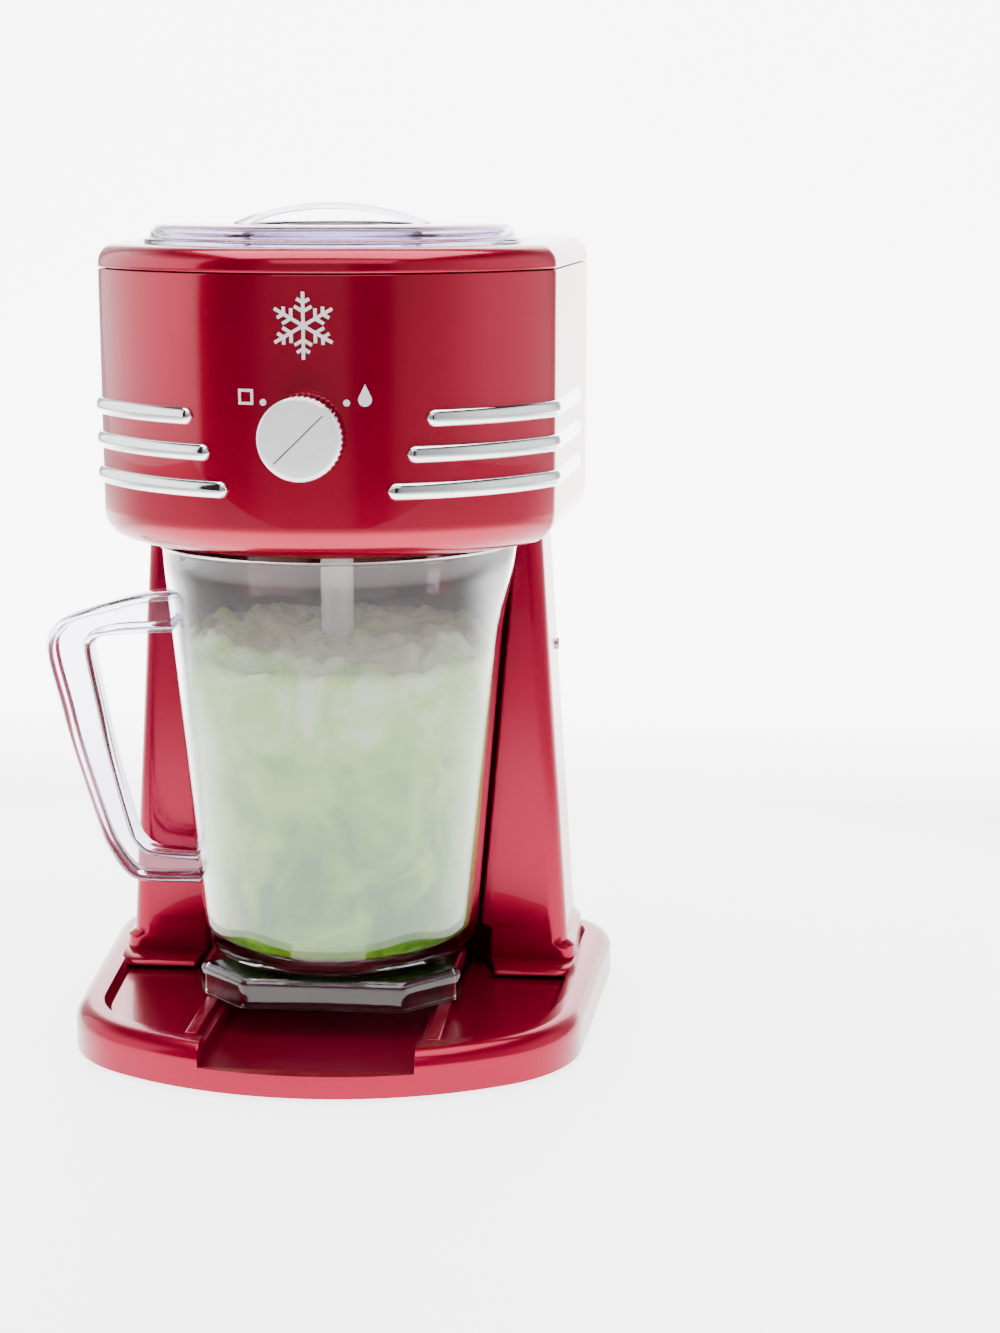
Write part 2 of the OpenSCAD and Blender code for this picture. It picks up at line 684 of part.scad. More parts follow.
module gearbox_cover() color([0.25, 0.25, 0.28]) difference() {
    translate([-box_half_w, box_front, box_top]) cube([2*box_half_w, box_rear - box_front, cover_t]);
    translate([0, 0, box_top - 1]) cylinder(r = 6, h = 10);
    translate([0, motor_y, box_top - 1]) cylinder(r = 4.5, h = 10);
    for (p = cover_hole_places) translate([p[0], p[1], box_top - 1]) cylinder(r = 1.2, h = 10);
}

module idler_gear() color([0.92, 0.9, 0.82]) translate([0, idler_y, 0]) difference() {
    union() {
        translate([0, 0, low_gear_z]) gear(idler_small_teeth, gear_module, high_gear_z - low_gear_z + 1,
                                              -90 + 180/idler_small_teeth);
        translate([0, 0, high_gear_z]) gear(idler_large_teeth, gear_module, gear_w, 90);
    }
    translate([0, 0, low_gear_z - 1]) cylinder(r = pin_r + running, h = 30);
}

module idler_pin() color("silver") translate([0, idler_y, floor_top + 2])
    cylinder(r = pin_r, h = box_top - floor_top - 2);

motor_screw_x = 11;

module motor_can() color([0.6, 0.6, 0.62]) translate([0, motor_y, 0]) difference() {
    union() {
        translate([0, 0, motor_low]) cylinder(r = motor_r, h = motor_high - motor_low);
        translate([0, 0, motor_high]) cylinder(r = 6, h = 2);
        translate([0, 0, motor_low - 2]) cylinder(r = 4.4, h = 2);
    }
    translate([0, 0, motor_low - 3]) cylinder(r = 1.6 + running, h = 70);
    for (s = [-1, 1]) translate([s*motor_screw_x, 0, motor_low - 1]) cylinder(r = 1.25, h = 6);
    for (a = [0:60:300]) rotate(a + 30) translate([motor_r - 2, -2, motor_high - 16]) cube([4, 4, 10]);
}

module motor_shaft() color("silver") translate([0, motor_y, high_gear_z - 0.5])
    cylinder(r = 1.6, h = 344 - high_gear_z);

module motor_pinion() color([0.78, 0.62, 0.3]) translate([0, motor_y, high_gear_z]) difference() {
    gear(pinion_teeth, gear_module, gear_w + 0.5, -90 + 180/pinion_teeth);
    translate([0, 0, -1]) cylinder(r = 1.6, h = 20);
}

module motor_fan() color([0.1, 0.1, 0.1]) translate([0, motor_y, 335]) difference() {
    union() {
        cylinder(r = 5, h = 7);
        for (a = [0:45:315]) rotate(a) translate([3, -0.6, 0]) cube([13, 1.2, 7]);
    }
    translate([0, 0, -1]) cylinder(r = 1.6, h = 20);
}

module motor_bracket() color("silver") difference() {
    union() {
        translate([-24, motor_y - 20, motor_low - 2]) cube([48, 31, 2]);
        // feet folded down at both sides to the gearbox cover
        for (s = [-1, 1]) translate([s*23 - 1, motor_y - 20, box_top + cover_t]) cube([2, 31, 2]);
    }
    translate([0, motor_y, motor_low - 3]) cylinder(r = 4.4, h = 5);
    for (s = [-1, 1]) translate([s*motor_screw_x, motor_y, motor_low - 3]) cylinder(r = 1.3, h = 5);
}

module motor_screws() color([0.3, 0.3, 0.32]) for (s = [-1, 1])
    translate([s*motor_screw_x, motor_y, motor_low - 3.2]) rotate([180, 0, 0]) screw(2.4, 1.2, 1.2, 6);

// ---------- pitcher ----------

function pitcher_r(z) =
    pitcher_r_low + (pitcher_r_high - pitcher_r_low)*(z - foot_top)/(pitcher_rim - foot_top);

// half section of the pitcher's solid, moved inwards by t, with its floor at z0
module pitcher_solid(t, z0, z1) {
    round_r = pitcher_round - t;
    rotate_extrude() polygon(concat([[0, z0]],
        arc([pitcher_r(z0 + round_r) - t - round_r, z0 + round_r], round_r, -90, 0, 8),
        [[pitcher_r(z1) - t, z1], [0, z1]]));
    translate([spout_x, 0, spout_low]) cylinder(r1 = 3, r2 = spout_r - t, h = z1 - spout_low);
}

module pitcher_body() color([0.86, 0.9, 0.9, 0.35]) difference() {
    union() {
        pitcher_solid(0, foot_top, pitcher_rim);
        translate([0, 0, pitcher_rim - 3]) cylinder(r = pitcher_r_high + 1, h = 3);
    }
    pitcher_solid(pitcher_wall, pitcher_floor, pitcher_rim + EPS);
    // notch that passes under the drive socket as the pitcher comes out
    translate([-13, pitcher_r_low, notch_z]) cube([26, 30, 10]);
}

// octagon with wide sides and narrow corners
module octagon(inset) {
    a = foot_half_w - inset;
    b = foot_flat - inset*0.42;
    polygon([[-b, -a], [b, -a], [a, -b], [a, b], [b, a], [-b, a], [-a, b], [-a, -b]]);
}

module pitcher_foot() color([0.86, 0.9, 0.9, 0.4]) difference() {
    translate([0, 0, foot_bottom]) linear_extrude(foot_top - foot_bottom) octagon(0);
    translate([0, 0, foot_bottom - 1]) linear_extrude(foot_top - foot_bottom - 2.5) octagon(3.2);
}

// outer and inner edges of the handle, in X and Z
handle_outer = [[-80.5, 217], [-100, 214.5], [-131, 205], [-141, 198], [-145, 187], [-139, 160],
                [-133.5, 138], [-122.5, 102], [-117, 87], [-108, 73.5], [-98, 69.5], [-69, 69]];
handle_inner = [[-81.5, 196.5], [-116, 194], [-121, 191], [-122, 186], [-112, 133], [-103, 98], [-96.5, 87.5],
                [-88, 85.5], [-72, 85]];
handle_shape = concat(handle_outer, [for (i = [len(handle_inner)-1:-1:0]) handle_inner[i]]);
rim_t = 4.5;

module handle_rims() difference() {
    polygon(handle_shape);
    offset(delta = -rim_t) polygon(handle_shape);
}

module pitcher_handle() color([0.88, 0.9, 0.92, 0.5]) difference() {
    union() {
        along_y(-2, 2) polygon(handle_shape);
        along_y(-7.5, 7.5) handle_rims();
    }
    // cut to the pitcher's own wall
    translate([0, 0, foot_top]) cylinder(r1 = pitcher_r_low, r2 = pitcher_r_high, h = pitcher_rim - foot_top);
}

module pitcher_pin() color("silver") translate([0, 0, pitcher_floor]) {
    cylinder(r = 7, h = 1.5);
    cylinder(r = pin_r, h = 14);
}

// twin blades with windows, on a shaft with a tang at its top
paddle_turn = 24;
blade_outline = [[0, 60], [48, 60], [54, 68], [56, 150], [50, 174], [36, 183], [0, 185]];
module paddle() color([0.95, 0.95, 0.95]) difference() {
    union() {
        translate([0, 0, paddle_low]) cylinder(r = paddle_shaft_r, h = socket_low - 0.8 - paddle_low);
        translate([-tang_w/2, -tang_len/2, socket_low - 1.8])
            cube([tang_w, tang_len, tang_top - socket_low + 1.8]);
        for (side = [0, 180]) rotate(paddle_turn + side) along_y(-1.5, 1.5) difference() {
            polygon(blade_outline);
            for (z = [72:36:150]) translate([14, z]) square([30, 25]);
        }
    }
    translate([0, 0, paddle_low - 1]) cylinder(r = pin_r + running, h = 14);
}

// ---------- assembly ----------

base_shell();
base_plate();
rubber_feet();
base_screws();
column_shell();
rear_cover();
rear_screws();
side_screws();
cord_gland();
head_shell();
head_floor();
head_cap();
trim_left_1();
trim_left_2();
trim_left_3();
trim_right_1();
trim_right_2();
trim_right_3();
front_ornament();
mode_marks();
knob_skirt();
knob_face();
knob_pointer();
selector_shaft();
selector_switch();
selector_nut();
hopper();
ice_chute();
blade_plate();
ice_blade();
blade_screws();
hopper_lid();
lid_handle();
interlock_pin();
interlock_spring();
interlock_switch();
impeller();
drive_shaft();
output_gear();
drive_socket();
upper_bushing();
lower_bushing();
gearbox_housing();
gearbox_cover();
idler_gear();
idler_pin();
motor_can();
motor_shaft();
motor_pinion();
motor_fan();
motor_bracket();
motor_screws();
pitcher_body();
pitcher_foot();
pitcher_handle();
pitcher_pin();
paddle();
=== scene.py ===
"""A red home slushie machine with a clear pitcher of lime slush, in a white studio."""

import json
import math

import bmesh
import bpy
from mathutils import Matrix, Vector, noise


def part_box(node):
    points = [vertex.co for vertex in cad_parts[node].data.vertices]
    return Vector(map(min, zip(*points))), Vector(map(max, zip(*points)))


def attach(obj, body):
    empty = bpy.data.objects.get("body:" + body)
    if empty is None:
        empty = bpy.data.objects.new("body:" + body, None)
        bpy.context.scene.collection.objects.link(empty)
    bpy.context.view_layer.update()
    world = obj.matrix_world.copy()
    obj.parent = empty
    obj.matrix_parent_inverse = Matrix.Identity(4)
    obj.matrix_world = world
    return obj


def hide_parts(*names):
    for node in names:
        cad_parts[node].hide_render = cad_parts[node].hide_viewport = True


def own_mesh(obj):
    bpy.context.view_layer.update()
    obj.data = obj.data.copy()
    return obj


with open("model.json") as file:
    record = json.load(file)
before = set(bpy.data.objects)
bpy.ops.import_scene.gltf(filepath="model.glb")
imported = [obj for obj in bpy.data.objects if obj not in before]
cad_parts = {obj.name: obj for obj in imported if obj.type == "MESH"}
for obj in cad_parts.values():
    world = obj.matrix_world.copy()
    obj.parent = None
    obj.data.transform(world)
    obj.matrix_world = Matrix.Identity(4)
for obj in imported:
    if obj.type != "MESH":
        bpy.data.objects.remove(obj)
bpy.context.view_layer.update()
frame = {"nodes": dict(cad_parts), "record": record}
MM = 0.001


# ---------------------------------------------------------------- camera and studio


def make_camera():
    """The photograph's view: slightly right of the axis and a little above the machine."""
    data = bpy.data.cameras.new("camera")
    data.lens = 68.54
    data.clip_start = 0.05
    camera = bpy.data.objects.new("camera", data)
    camera.location = (0.1858, -1.2141, 0.4225)
    camera.rotation_euler = (math.pi / 2 - 0.1955, 0, 0.087)
    bpy.context.scene.collection.objects.link(camera)
    bpy.context.scene.camera = camera


def area_light(name, place, target, size, power):
    """A soft box at place that faces target."""
    data = bpy.data.lights.new(name, "AREA")
    data.shape = "RECTANGLE"
    data.size, data.size_y = size
    data.energy = power
    lamp = bpy.data.objects.new(name, data)
    lamp.location = place
    aim = Vector(target) - Vector(place)
    lamp.rotation_euler = aim.to_track_quat("-Z", "Y").to_euler()
    bpy.context.scene.collection.objects.link(lamp)


def make_lights():
    """Soft boxes above and in front. The world carries the studio's light and dark panels."""
    area_light("top_box", (0.0, -0.1, 1.5), (0, 0, 0.2), (1.6, 1.2), 40)
    area_light("front_box", (0.1, -1.7, 1.7), (0, 0, 0.25), (2.0, 0.8), 10)
    world = bpy.data.worlds.new("studio")
    bpy.context.scene.world = world
    world.use_nodes = True
    tree = world.node_tree
    place = tree.nodes.new("ShaderNodeTexCoord")
    split = tree.nodes.new("ShaderNodeSeparateXYZ")
    tree.links.new(place.outputs["Generated"], split.inputs["Vector"])
    ahead = math_node(tree, "MULTIPLY", split.outputs["Y"], -1.0)
    turn = math_node(tree, "ARCTAN2", split.outputs["X"], ahead)
    share = math_node(tree, "MULTIPLY_ADD", turn, 0.5 / math.pi, 0.5)
    # brightness by compass angle: 0 straight in front of the machine, positive to its right
    panels = [
        (-180, 0.3), (-132, 0.3), (-131, 1.0), (-61, 0.9), (-58, 0.01), (-38, 0.01), (-26, 0.12), (8, 0.15),
        (15, 0.01), (26, 0.01), (33, 0.15), (55, 0.25), (75, 0.5), (112, 0.6), (120, 0.3), (180, 0.3),
    ]
    bands = ramp(tree, share, [(0.5 + angle / 360, (v, v, v)) for angle, v in panels])
    # the panels stop short of the ceiling
    mask = map_range(tree, split.outputs["Z"], 0.7, 0.45, kind="LINEAR")
    power = math_node(tree, "MULTIPLY_ADD", mask, 2.9, 0.1)
    background = tree.nodes["Background"]
    tree.links.new(bands.outputs["Color"], background.inputs["Color"])
    tree.links.new(power, background.inputs["Strength"])


# ---------------------------------------------------------------- mesh helpers


def arc(cx, cy, r, a0, a1, count):
    """Points of an arc in degrees, both ends included."""
    angles = [math.radians(a0 + (a1 - a0) * i / count) for i in range(count + 1)]
    return [(cx + r * math.cos(a), cy + r * math.sin(a)) for a in angles]


def line(p, q, count):
    """Points from p to q, without p."""
    return [
        (p[0] + (q[0] - p[0]) * i / count, p[1] + (q[1] - p[1]) * i / count)
        for i in range(1, count + 1)
    ]


def mix(a, b, t):
    return a + (b - a) * t


def smooth(t):
    t = max(0.0, min(1.0, t))
    return t * t * (3 - 2 * t)


def link(name, bm, material, sharp=35):
    """Makes an object of a bmesh, with smooth shading broken at sharp edges."""
    bmesh.ops.recalc_face_normals(bm, faces=bm.faces)
    mesh = bpy.data.meshes.new(name)
    bm.to_mesh(mesh)
    bm.free()
    mesh.polygons.foreach_set("use_smooth", [True] * len(mesh.polygons))
    mesh.set_sharp_from_angle(angle=math.radians(sharp))
    mesh.materials.append(material)
    piece = bpy.data.objects.new(name, mesh)
    bpy.context.scene.collection.objects.link(piece)
    return piece


def loft(bm, rings, closed=False, caps=True):
    """Skins rings of equal length. closed joins the last ring to the first; caps fill both ends."""
    rows = [[bm.verts.new(p) for p in ring] for ring in rings]
    count = len(rows[0])
    pairs = list(zip(rows, rows[1:]))
    if closed:
        pairs.append((rows[-1], rows[0]))
    for low, high in pairs:
        for i in range(count):
            j = (i + 1) % count
            bm.faces.new((low[i], low[j], high[j], high[i]))
    if caps and not closed:
        for row in (rows[0], rows[-1]):
            bm.faces.new(row)
    return rows


def fill_to_hub(bm, row, z):
    """Closes a ring with a fan of faces round a point on the z axis."""
    hub = bm.verts.new((0, 0, z))
    for i in range(len(row)):
        bm.faces.new((row[i], row[(i + 1) % len(row)], hub))


def lathe(bm, profile, steps, wobble=None):
    """Turns a profile of (radius, z) about the z axis. A radius of 0 closes the surface."""
    rows = []
    for r, z in profile:
        if r <= 1e-9:
            rows.append([bm.verts.new((0, 0, z))])
            continue
        row = []
        for i in range(steps):
            a = 2 * math.pi * i / steps
            ri = r + (wobble(a, r, z) if wobble else 0)
            row.append(bm.verts.new((ri * math.cos(a), ri * math.sin(a), z)))
        rows.append(row)
    for low, high in zip(rows, rows[1:]):
        for i in range(steps):
            j = (i + 1) % steps
            if len(low) == 1:
                bm.faces.new((low[0], high[j], high[i]))
            elif len(high) == 1:
                bm.faces.new((low[i], low[j], high[0]))
            else:
                bm.faces.new((low[i], low[j], high[j], high[i]))
    return rows


def oval(a, b, z, steps=120):
    """A level ellipse."""
    angles = [2 * math.pi * i / steps for i in range(steps)]
    return [(a * math.cos(t), b * math.sin(t), z) for t in angles]


def bake(piece):
    """Applies a piece's modifiers."""
    graph = bpy.context.evaluated_depsgraph_get()
    mesh = bpy.data.meshes.new_from_object(piece.evaluated_get(graph))
    piece.modifiers.clear()
    piece.data = mesh


def cut(piece, cutter):
    """Subtracts a closed cutter from a piece, and deletes the cutter."""
    step = piece.modifiers.new("cut", "BOOLEAN")
    step.operation = "DIFFERENCE"
    step.solver = "EXACT"
    step.object = cutter
    bake(piece)
    bpy.data.objects.remove(cutter)


def soften(piece, width, segments=3, angle=32):
    """Rounds a piece's crisp edges."""
    step = piece.modifiers.new("soften", "BEVEL")
    step.width = width
    step.segments = segments
    step.limit_method = "ANGLE"
    step.angle_limit = math.radians(angle)
    step.harden_normals = False
    bake(piece)
    piece.data.polygons.foreach_set("use_smooth", [True] * len(piece.data.polygons))
    piece.data.set_sharp_from_angle(angle=math.radians(30))


def box_mesh(name, lo, hi, material):
    """A closed box between two corners, used as a cutter or slab."""
    bm = bmesh.new()
    bmesh.ops.create_cube(bm, size=1)
    for v in bm.verts:
        v.co = Vector([mix(lo[k], hi[k], v.co[k] + 0.5) for k in range(3)])
    return link(name, bm, material)


# ---------------------------------------------------------------- outlines shared with the design

FLARE = 8 * MM


def outline_of(node, front_r, corner_r, rear_r):
    """The D-shaped plan of a CAD shell, from its box and the radii of its curves."""
    lo, hi = (Vector(c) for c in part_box(node))
    return {
        "w": hi.x - FLARE,
        "front": -lo.y,
        "r": front_r,
        "rc": corner_r,
        "rear": hi.y,
        "rb": rear_r,
    }


FRONT_STEPS, CORNER_STEPS, SIDE_STEPS = 48, 10, 14


def plan(s, inset=0.0):
    """The outline moved inwards by inset, as (x, y) points that match from one inset to the next."""
    least = 0.6 * MM
    w, r = s["w"] - inset, s["r"] - inset
    rc, rb = max(s["rc"] - inset, least), max(s["rb"] - inset, least)
    rear = s["rear"] - inset
    cy = s["r"] - s["front"]
    yc = cy - math.sqrt((r - rc) ** 2 - (w - rc) ** 2)
    tilt = math.degrees(math.asin((w - rc) / (r - rc)))
    lean = math.degrees(math.atan(FLARE / (rear - rb - yc)))
    half = arc(0, cy, r, -90, -90 + tilt, FRONT_STEPS)
    half += arc(w - rc, yc, rc, -90 + tilt, -lean, CORNER_STEPS)[1:]
    rear_arc = arc(w + FLARE - rb, rear - rb, rb, -lean, 90, 12)
    half += line(half[-1], rear_arc[0], SIDE_STEPS)
    half += rear_arc[1:]
    half += line(half[-1], (0, rear), 10)
    return half + [(-x, y) for x, y in reversed(half[1:-1])]


def ring(s, inset, z):
    """The plan of a shell at a height."""
    return [(x, y, z) for x, y in plan(s, inset)]


HEAD = outline_of("head_shell", 123 * MM, 10 * MM, 16 * MM)
BASE = outline_of("base_shell", 175 * MM, 65 * MM, 35 * MM)
HEAD_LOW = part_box("head_shell")[0][2]
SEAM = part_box("head_shell")[1][2]
CAP_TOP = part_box("head_cap")[1][2]
WALL = 3 * MM
KNOB_Z = (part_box("knob_face")[0][2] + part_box("knob_face")[1][2]) / 2


# ---------------------------------------------------------------- materials


def new_material(name, colour, roughness, **sockets):
    """A Principled material. Returns the material, its node tree and its shader."""
    material = bpy.data.materials.new(name)
    material.use_nodes = True
    tree = material.node_tree
    shader = tree.nodes["Principled BSDF"]
    shader.inputs["Base Color"].default_value = (*colour, 1)
    shader.inputs["Roughness"].default_value = roughness
    for key, value in sockets.items():
        shader.inputs[key.replace("_", " ")].default_value = value
    return material, tree, shader


def object_noise(tree, scale, detail=3, stretch=(1, 1, 1)):
    """Noise in the object's own coordinates, which move with the piece."""
    place = tree.nodes.new("ShaderNodeTexCoord")
    mapping = tree.nodes.new("ShaderNodeMapping")
    mapping.inputs["Scale"].default_value = stretch
    grain = tree.nodes.new("ShaderNodeTexNoise")
    grain.inputs["Scale"].default_value = scale
    grain.inputs["Detail"].default_value = detail
    tree.links.new(place.outputs["Object"], mapping.inputs["Vector"])
    tree.links.new(mapping.outputs["Vector"], grain.inputs["Vector"])
    return grain


def map_range(tree, source, low, high, out_low=0.0, out_high=1.0, kind="SMOOTHSTEP"):
    """A value moved from one range to another. Returns its output."""
    node = tree.nodes.new("ShaderNodeMapRange")
    node.interpolation_type = kind
    node.inputs["From Min"].default_value = low
    node.inputs["From Max"].default_value = high
    node.inputs["To Min"].default_value = out_low
    node.inputs["To Max"].default_value = out_high
    tree.links.new(source, node.inputs["Value"])
    return node.outputs["Result"]


def math_node(tree, operation, *sources):
    """A maths node fed by outputs or plain numbers. Returns its output."""
    node = tree.nodes.new("ShaderNodeMath")
    node.operation = operation
    for socket, source in zip(node.inputs, sources):
        if isinstance(source, (int, float)):
            socket.default_value = source
        else:
            tree.links.new(source, socket)
    return node.outputs["Value"]


def ramp(tree, source, stops):
    """A colour ramp of (position, colour) stops fed by a factor."""
    node = tree.nodes.new("ShaderNodeValToRGB")
    while len(node.color_ramp.elements) < len(stops):
        node.color_ramp.elements.new(0.5)
    for element, (position, colour) in zip(node.color_ramp.elements, stops):
        element.position = position
        element.color = (*colour, 1) if len(colour) == 3 else colour
    tree.links.new(source, node.inputs["Fac"])
    return node


def vary_colour(tree, shader, scale, low, high, detail=3):
    """Mottles the colour between two shades."""
    grain = object_noise(tree, scale, detail)
    node = ramp(tree, grain.outputs["Fac"], [(0.3, low), (0.7, high)])
    tree.links.new(node.outputs["Color"], shader.inputs["Base Color"])


def vary_roughness(tree, shader, scale, low, high, stretch=(1, 1, 1)):
    """Mottles the roughness between two values."""
    grain = object_noise(tree, scale, 4, stretch)
    spread = map_range(tree, grain.outputs["Fac"], 0.3, 0.7, low, high, kind="LINEAR")
    tree.links.new(spread, shader.inputs["Roughness"])


def add_bump(tree, shader, scale, strength, distance, detail=3, stretch=(1, 1, 1), sockets=("Normal",)):
    """Adds a fine surface texture, no deeper than distance."""
    grain = object_noise(tree, scale, detail, stretch)
    bump = tree.nodes.new("ShaderNodeBump")
    bump.inputs["Strength"].default_value = strength
    bump.inputs["Distance"].default_value = distance
    tree.links.new(grain.outputs["Fac"], bump.inputs["Height"])
    for socket in sockets:
        tree.links.new(bump.outputs["Normal"], shader.inputs[socket])


def red_paint(name, colour, metallic, coat):
    """Candy red: a fine metallic base under a clear, faintly uneven coat."""
    material, tree, shader = new_material(
        name, colour, 0.24, Metallic=metallic, Coat_Weight=coat, Coat_Roughness=0.02
    )
    shader.inputs["Specular IOR Level"].default_value = 0.1
    vary_colour(tree, shader, 1400, [0.96 * c for c in colour], [1.04 * c for c in colour], 2)
    vary_roughness(tree, shader, 900, 0.2, 0.26)
    add_bump(tree, shader, 60, 0.04, 0.0004, 2, sockets=("Normal", "Coat Normal"))
    return material


def chrome():
    """Bright plated metal with faint smears."""
    material, tree, shader = new_material("chrome", (0.86, 0.87, 0.89), 0.06, Metallic=1.0)
    vary_roughness(tree, shader, 300, 0.04, 0.09)
    add_bump(tree, shader, 90, 0.03, 0.0003, 2)
    return material


def knob_metal():
    """Satin metal for the knob's disc, with a fine turned grain."""
    material, tree, shader = new_material("knob_disc", (0.93, 0.93, 0.94), 0.3, Metallic=0.35)
    vary_roughness(tree, shader, 500, 0.16, 0.28)
    add_bump(tree, shader, 1500, 0.05, 0.0002, 2)
    return material


def clear_plastic(name, colour, roughness):
    """Clear moulded plastic with faint flow marks."""
    material, tree, shader = new_material(
        name, colour, roughness, Transmission_Weight=1.0, IOR=1.49
    )
    vary_roughness(tree, shader, 40, roughness, roughness + 0.03)
    add_bump(tree, shader, 25, 0.06, 0.0006, 2)
    return material


def black_plastic():
    """Black moulded plastic with a fine texture."""
    material, tree, shader = new_material("black_plastic", (0.02, 0.02, 0.022), 0.45)
    vary_colour(tree, shader, 220, (0.014, 0.014, 0.016), (0.03, 0.03, 0.032))
    add_bump(tree, shader, 1100, 0.25, 0.0003, 4)
    return material


def rubber():
    """Dull black rubber."""
    material, tree, shader = new_material("rubber", (0.03, 0.03, 0.03), 0.8)
    vary_colour(tree, shader, 160, (0.02, 0.02, 0.02), (0.045, 0.044, 0.042))
    add_bump(tree, shader, 700, 0.35, 0.0003, 4)
    return material


def steel():
    """Drawn steel with a grain along z."""
    material, tree, shader = new_material("steel", (0.6, 0.6, 0.61), 0.3, Metallic=1.0)
    vary_roughness(tree, shader, 250, 0.22, 0.42, (1, 1, 12))
    add_bump(tree, shader, 350, 0.08, 0.0002, 3, (1, 1, 14))
    return material


def bronze():
    """Sintered bronze for the bushings."""
    material, tree, shader = new_material("bronze", (0.6, 0.42, 0.2), 0.35, Metallic=1.0)
    vary_colour(tree, shader, 500, (0.5, 0.34, 0.16), (0.68, 0.5, 0.26))
    add_bump(tree, shader, 900, 0.2, 0.0002)
    return material


def white_plastic():
    """Smooth white moulded plastic."""
    material, tree, shader = new_material("white_plastic", (0.85, 0.86, 0.86), 0.35, Subsurface_Weight=0.1)
    vary_colour(tree, shader, 45, (0.82, 0.83, 0.83), (0.9, 0.9, 0.9))
    add_bump(tree, shader, 600, 0.06, 0.0002)
    return material


def nylon():
    """Cream gear nylon."""
    material, tree, shader = new_material("gear_nylon", (0.82, 0.79, 0.7), 0.4, Subsurface_Weight=0.15)
    vary_colour(tree, shader, 90, (0.78, 0.74, 0.64), (0.86, 0.83, 0.75))
    add_bump(tree, shader, 500, 0.1, 0.0002)
    return material


def foil():
    """Silver print."""
    material, tree, shader = new_material("silver_foil", (0.9, 0.9, 0.91), 0.3, Metallic=0.3)
    vary_colour(tree, shader, 800, (0.86, 0.86, 0.87), (0.95, 0.95, 0.95))
    return material


def slush_ice():
    """Lime slush: pale and icy above, greener below, with blotches of clearer ice."""
    material, tree, shader = new_material(
        "lime_slush", (0.5, 0.75, 0.3), 0.35, Subsurface_Weight=0.35, Subsurface_Scale=0.006,
        Coat_Weight=0.25, Coat_Roughness=0.15
    )
    place = tree.nodes.new("ShaderNodeTexCoord")
    split = tree.nodes.new("ShaderNodeSeparateXYZ")
    tree.links.new(place.outputs["Object"], split.inputs["Vector"])
    height = map_range(tree, split.outputs["Z"], 0.04, 0.21, kind="LINEAR")
    blotch = object_noise(tree, 26, 6)
    blotch.inputs["Roughness"].default_value = 0.7
    blotch.inputs["Distortion"].default_value = 0.6
    spread = math_node(tree, "MULTIPLY_ADD", blotch.outputs["Fac"], 2.4, -1.2)
    tones = ramp(tree, math_node(tree, "ADD", height, spread), [
        (0.0, (0.05, 0.24, 0.0)), (0.25, (0.16, 0.42, 0.0)), (0.5, (0.33, 0.6, 0.04)),
        (0.78, (0.46, 0.68, 0.16)), (1.0, (0.66, 0.76, 0.48))])
    tree.links.new(tones.outputs["Color"], shader.inputs["Base Color"])
    shader.inputs["Subsurface Radius"].default_value = (0.6, 1.0, 0.4)
    add_bump(tree, shader, 320, 0.5, 0.001, 5)
    return material


def floor_white():
    """White sweep that glows under and behind the machine, and fades around it."""
    material, tree, shader = new_material("studio_white", (0.82, 0.82, 0.82), 0.6)
    vary_colour(tree, shader, 3, (0.8, 0.8, 0.8), (0.84, 0.84, 0.84))
    place = tree.nodes.new("ShaderNodeTexCoord")
    split = tree.nodes.new("ShaderNodeSeparateXYZ")
    length = tree.nodes.new("ShaderNodeVectorMath")
    length.operation = "LENGTH"
    tree.links.new(place.outputs["Object"], split.inputs["Vector"])
    tree.links.new(place.outputs["Object"], length.inputs[0])
    near = map_range(tree, length.outputs["Value"], 0.45, 0.85, 3.6, 0.0)
    back = map_range(tree, split.outputs["Y"], 0.0, 0.9, 0.0, 6.5)
    side = map_range(tree, math_node(tree, "ABSOLUTE", split.outputs["X"]), 0.9, 1.6, 1.0, 0.1)
    glow = math_node(tree, "MAXIMUM", near, math_node(tree, "MULTIPLY", back, side))
    tree.links.new(glow, shader.inputs["Emission Strength"])
    shader.inputs["Emission Color"].default_value = (1, 1, 1, 1)
    return material


RED = red_paint("candy_red", (0.34, 0.0, 0.024), 0.7, 0.6)
BODY_RED = red_paint("candy_red_body", (0.26, 0.0, 0.022), 0.55, 0.2)
CHROME = chrome()
KNOB_METAL = knob_metal()
CLEAR = clear_plastic("clear_pitcher", (0.95, 0.97, 0.97), 0.02)
LID_CLEAR = clear_plastic("clear_lid", (0.72, 0.66, 0.86), 0.02)
GRIP_CLEAR = clear_plastic("clear_grip", (0.8, 0.78, 0.93), 0.02)
BLACK = black_plastic()
RUBBER = rubber()
STEEL = steel()
BRONZE = bronze()
WHITE = white_plastic()
NYLON = nylon()
FOIL = foil()
SLUSH = slush_ice()
SLOT_MATERIALS = {
    "red_shell": RED, "chrome": CHROME, "black_plastic": BLACK, "rubber": RUBBER, "steel": STEEL,
    "bronze": BRONZE, "white_plastic": WHITE, "gear_nylon": NYLON, "print_silver": FOIL,
    "clear_lid": LID_CLEAR, "clear_pitcher": CLEAR,
}


def dress_nodes():
    """Gives every CAD node the material of its slot."""
    for part in frame["record"]["subparts"]:
        mesh = frame["nodes"][part["node"]].data
        for i in range(len(mesh.materials)):
            mesh.materials[i] = SLOT_MATERIALS[part["material_slot"]]


def fit(piece, body, slot, *nodes):
    """Puts a piece on its body and hides the CAD nodes that it stands for. The slot argument is not used."""
    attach(piece, body)
    if nodes:
        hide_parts(*nodes)


# ---------------------------------------------------------------- stage


